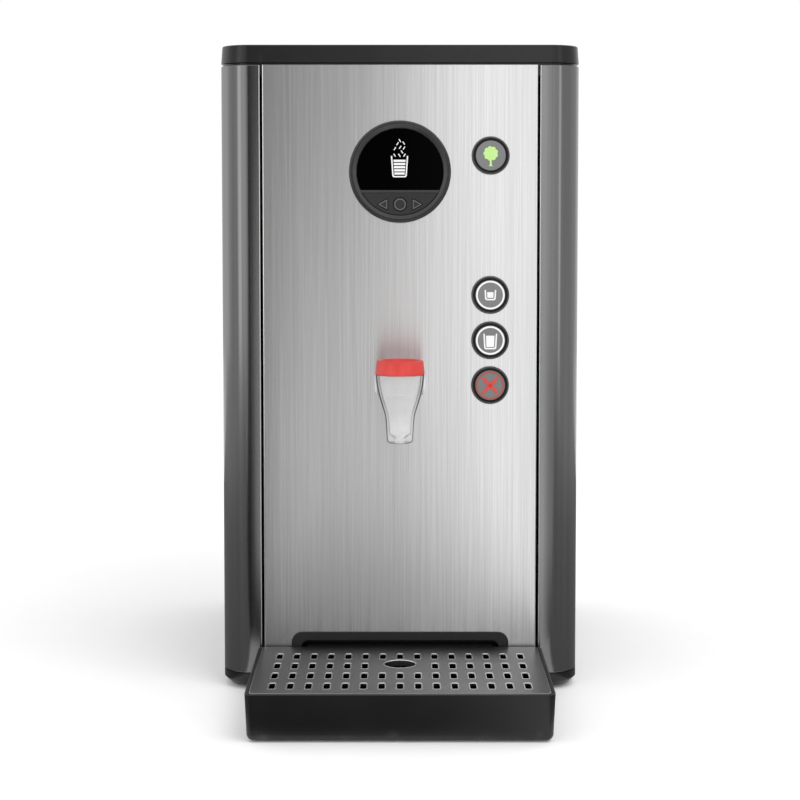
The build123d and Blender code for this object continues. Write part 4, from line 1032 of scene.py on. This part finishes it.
flank = smoothed([(15.3, rim_z), (14.6, rim_z - 6.8), (13.1, rim_z - 13.6), (11.1, rim_z - 20.0),
                  (9.3, rim_z - 26.1), (8.7, rim_z - 31.8), (8.4, rim_z - 37.4)])
inner_flank = [(radius - NOZZLE_WALL, height) for radius, height in flank]
lip = [(8.25, tip_z + 2.0), (7.9, tip_z + 0.9), (7.2, tip_z + 0.25), (6.4, tip_z), (3.9, tip_z),
       (3.5, tip_z + 0.3), (3.4, tip_z + 0.8), (3.4, tip_z + 3.0)]
nozzle = turned("clear_nozzle", flank + lip + inner_flank[::-1])
fitted(upright(nozzle), clear_plastic, "clear_plastic", "spout_nozzle")

red_cap_plastic, shader = material("red_cap_plastic")
spark = shader.noise(2400.0, 3.0)
cloud = shader.noise(90.0, 4.0)
fading = shader.noise((40.0, 40.0, 120.0), 3.0)
shader.surface(Base_Color=shader.ramp(cloud * 0.6 + fading * 0.4, (0.3, (0.58, 0.030, 0.023)),
                                      (0.7, (0.68, 0.046, 0.036))),
               Roughness=0.24 + cloud * 0.12, Normal=shader.bump(spark, 0.2, 0.00003))
cap = turned("red_cap", [
    (0, top_z - 2.3), (10.6, top_z - 2.2), (11.6, top_z - 1.8), (12.4, top_z - 0.5), (12.9, top_z - 0.1),
    (13.4, top_z), (14.0, top_z - 0.1), (14.5, top_z - 0.5), (14.75, top_z - 1.2), (15.1, top_z - 5.0),
    (15.45, low_z + 0.9), (15.5, low_z + 0.3), (15.3, low_z), (13.4, low_z), (13.2, top_z - 5.2),
    (12.6, top_z - 4.4), (0, top_z - 4.4)])
upright(cap)
cutter = mesh_object("cap_slot", [
    (SPOUT_X + x * 11.4 * MM, SPOUT_Y + y * MM, z * MM)
    for z in (low_z - 1.0, top_z - 5.0) for x, y in ((-1, 0), (1, 0), (1, 40), (-1, 40))],
    [(3, 2, 1, 0), (4, 5, 6, 7), (0, 1, 5, 4), (1, 2, 6, 5), (2, 3, 7, 6), (3, 0, 4, 7)], red_cap_plastic)
slot = cap.modifiers.new("arm_slot", "BOOLEAN")
slot.operation = "DIFFERENCE"
slot.object = cutter
slot.solver = "EXACT"
applied(cap)
bpy.data.objects.remove(cutter)
fitted(cap, red_cap_plastic, "red_plastic", "spout_cap", sharp=40.0)

arm_white = moulded("arm_moulding", (0.72, 0.72, 0.725), (0.80, 0.80, 0.805), 0.30, 2600.0, 0.00003)
red_seal = moulded("red_silicone", (0.38, 0.045, 0.03), (0.48, 0.065, 0.045), 0.6, 1200.0, 0.00005)
dressed("spout_arm_moulding", "spout_arm", arm_white, "arm_plastic", 0.3)
dressed("arm_seal", "spout_gasket", red_seal, "red_silicone")
dressed("arm_nut", "spout_nut", arm_white, "arm_plastic", 0.3)

# ---------------------------------------------------------------- boiler
# A drawn stainless tank stands on a pressed bracket. A flat lid closes it with a silicone ring
# and eight bolts, and carries the element, the probes, the cut-out and the vent.

WELD_HEIGHT = 0.025        # of the seam above the tank's floor

tank_steel, shader = material("blasted_tank_steel")
beads = shader.noise(1400.0, 3.0, 0.6)
cloud = shader.noise(16.0, 4.0)
weld_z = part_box("boiler_tank")[0].z + WELD_HEIGHT
weld = (1.0 - (shader.axes()[2] - weld_z).unsigned() * 160.0).clamped()
tint = shader.blend(weld * 0.5, shader.greys(cloud, (0.3, 0.46), (0.7, 0.56)), (0.36, 0.27, 0.16))
shader.surface(Base_Color=tint, Metallic=1.0, Roughness=0.38 + cloud * 0.12,
               Normal=shader.bump(beads, 0.3, 0.00004))

foam, shader = material("insulation_foam")
closed_cells = shader.cells(420.0)
cloud = shader.noise(30.0, 4.0)
shader.surface(Base_Color=shader.greys(cloud, (0.3, 0.035), (0.7, 0.055)), Roughness=0.9,
               Normal=shader.bump(closed_cells, 0.6, 0.0006))

bakelite = moulded("brown_bakelite", (0.030, 0.022, 0.018), (0.042, 0.031, 0.025), 0.3, 1500.0, 0.00004)
nylon = moulded("white_nylon", (0.66, 0.66, 0.63), (0.74, 0.74, 0.71), 0.5, 2000.0, 0.00004)

for name, node, finish, slot_name, ease in (
        ("tank_shell", "boiler_tank", tank_steel, "tank_steel", 0.0),
        ("tank_lid", "boiler_lid", tank_steel, "tank_steel", 0.3),
        ("tank_seal", "boiler_gasket", red_seal, "red_silicone", 0.0),
        ("tank_jacket", "boiler_insulation", foam, "insulation_foam", 0.8),
        ("tank_stand", "boiler_bracket", tank_steel, "bright_steel", 0.2),
        ("immersion_element", "heating_element", bright_steel, "bright_steel", 0.0),
        ("water_probes", "level_probes", nylon, "white_nylon", 0.2),
        ("water_sensor", "temperature_sensor", bright_steel, "bright_steel", 0.0),
        ("tank_cut_out", "boil_dry_thermostat", bakelite, "bakelite", 0.3)):
    dressed(name, node, finish, slot_name, ease)

BOLT_COUNT = 8
BOLT_REACH = 83.0
tank_x, tank_y, _ = middle_of("boiler_lid")
flange_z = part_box("boiler_lid")[1].z


def hexagon_prism(radius, low, high):
    """The profile points of a six-sided bar with softened ends."""
    return [(0, low), (radius * 0.94, low), (radius, low + 0.3), (radius, high - 0.3),
            (radius * 0.94, high), (0, high)]


bolt_places = [(tank_x + BOLT_REACH * MM * math.cos(math.tau * (i + 0.5) / BOLT_COUNT),
                tank_y + BOLT_REACH * MM * math.sin(math.tau * (i + 0.5) / BOLT_COUNT),
                flange_z) for i in range(BOLT_COUNT)]
bolt_length = (flange_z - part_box("boiler_lid_screws")[0].z) / MM
bolt = turned("hexagon_bolt", hexagon_prism(4.0, 0.0, 3.0), 6)
shank = turned("bolt_shank", [(0, -bolt_length), (2.0, -bolt_length), (2.0, 0.1), (0, 0.1)], 16)
nut = turned("bolt_nut", hexagon_prism(4.0, -bolt_length, -bolt_length + 3.2), 6)
for extra in (shank, nut):
    with opened(bolt.data) as mesh:
        mesh.from_mesh(extra.data)
    bpy.data.objects.remove(extra)
bolts = fasteners("tank_bolts", bolt_places, bolt, (0.0, 0.0, 0.0), bright_steel)
fitted(bolts, bright_steel, "bright_steel", "boiler_lid_screws", sharp=30.0)

# ---------------------------------------------------------------- valves and pipes
# Two solenoid valves, one for mains water in and one for hot water out, each a brass body with
# a moulded coil and a sprung iron plunger. Silicone hoses and a steel vent join them up.

brass, shader = material("machined_brass")
turning = shader.noise((60.0, 900.0, 60.0), 3.0)
cloud = shader.noise(70.0, 4.0)
colour = shader.ramp(cloud, (0.3, (0.50, 0.35, 0.14)), (0.7, (0.62, 0.46, 0.21)))
shader.surface(Base_Color=colour, Metallic=1.0, Roughness=0.24 + cloud * 0.16,
               Normal=shader.bump(turning, 0.12, 0.00004))

silicone, shader = material("silicone_hose")
cloud = shader.noise(80.0, 4.0)
shader.surface(Base_Color=shader.greys(cloud, (0.3, 0.56), (0.7, 0.66)), Roughness=0.38 + cloud * 0.12,
               Normal=shader.bump(cloud, 0.1, 0.0001))

for name, node, finish, slot_name, ease in (
        ("outlet_valve", "dispense_valve_body", brass, "brass_fittings", 0.0),
        ("outlet_coil", "dispense_valve_coil", satin_black, "black_plastic", 0.4),
        ("outlet_plunger", "dispense_plunger", bright_steel, "bright_steel", 0.0),
        ("inlet_valve", "inlet_valve_body", brass, "brass_fittings", 0.0),
        ("inlet_coil", "inlet_valve_coil", satin_black, "black_plastic", 0.4),
        ("inlet_iron_plunger", "inlet_plunger", bright_steel, "bright_steel", 0.0),
        ("hot_hose", "outlet_hose", silicone, "silicone_hose", 0.0),
        ("cold_hose", "inlet_hose", silicone, "silicone_hose", 0.0),
        ("vent_pipe", "vent_tube", bright_steel, "bright_steel", 0.0),
        ("overflow_spigot", "drain_spigot", satin_black, "black_plastic", 0.25)):
    dressed(name, node, finish, slot_name, ease)

# ---------------------------------------------------------------- circuits
# Green glass-fibre boards with soldered parts sit behind the display, behind the buttons and on
# the left wall. A relay on a finned heat sink switches the element.

board_green, shader = material("solder_mask_green")
weave = shader.noise(1800.0)
tracks = shader.cells(170.0, "DISTANCE_TO_EDGE")
copper = ((0.10 - tracks) * 20.0).clamped()
mask = shader.ramp(weave, (0.3, (0.012, 0.10, 0.035)), (0.7, (0.020, 0.15, 0.05)))
colour = shader.blend(copper * 0.55, mask, (0.04, 0.24, 0.08))
shader.surface(Base_Color=colour, Roughness=0.28 + weave * 0.1, Normal=shader.bump(tracks, 0.1, 0.0002))

sink_aluminium = bare_metal(
    "heat_sink_aluminium", (1200.0, 5.0, 1200.0), (0.50, 0.66), (0.30, 0.12), 0.15, 0.00004)

for name, node, finish, slot_name, ease in (
        ("display_circuit", "display_board", board_green, "circuit_board", 0.0),
        ("button_circuit", "button_board", board_green, "circuit_board", 0.0),
        ("main_circuit", "control_board", board_green, "circuit_board", 0.0),
        ("circuit_spacers", "board_standoffs", nylon, "white_nylon", 0.2),
        ("relay_and_heat_sink", "power_relay", sink_aluminium, "heatsink_aluminium", 0.2),
        ("mains_terminals", "terminal_block", nylon, "white_nylon", 0.3)):
    dressed(name, node, finish, slot_name, ease)

# ---------------------------------------------------------------- rear fittings
# The mains cable enters through a black gland, beside a snap-in switch with a curved rocker.
# They share the satin black moulding of the niche frame.

for name, node, ease in (
        ("cable_gland_nut", "cable_gland", 0.3), ("switch_frame", "power_switch_frame", 0.3),
        ("switch_rocker", "power_rocker", 0.3)):
    dressed(name, node, satin_black, "black_plastic", ease)
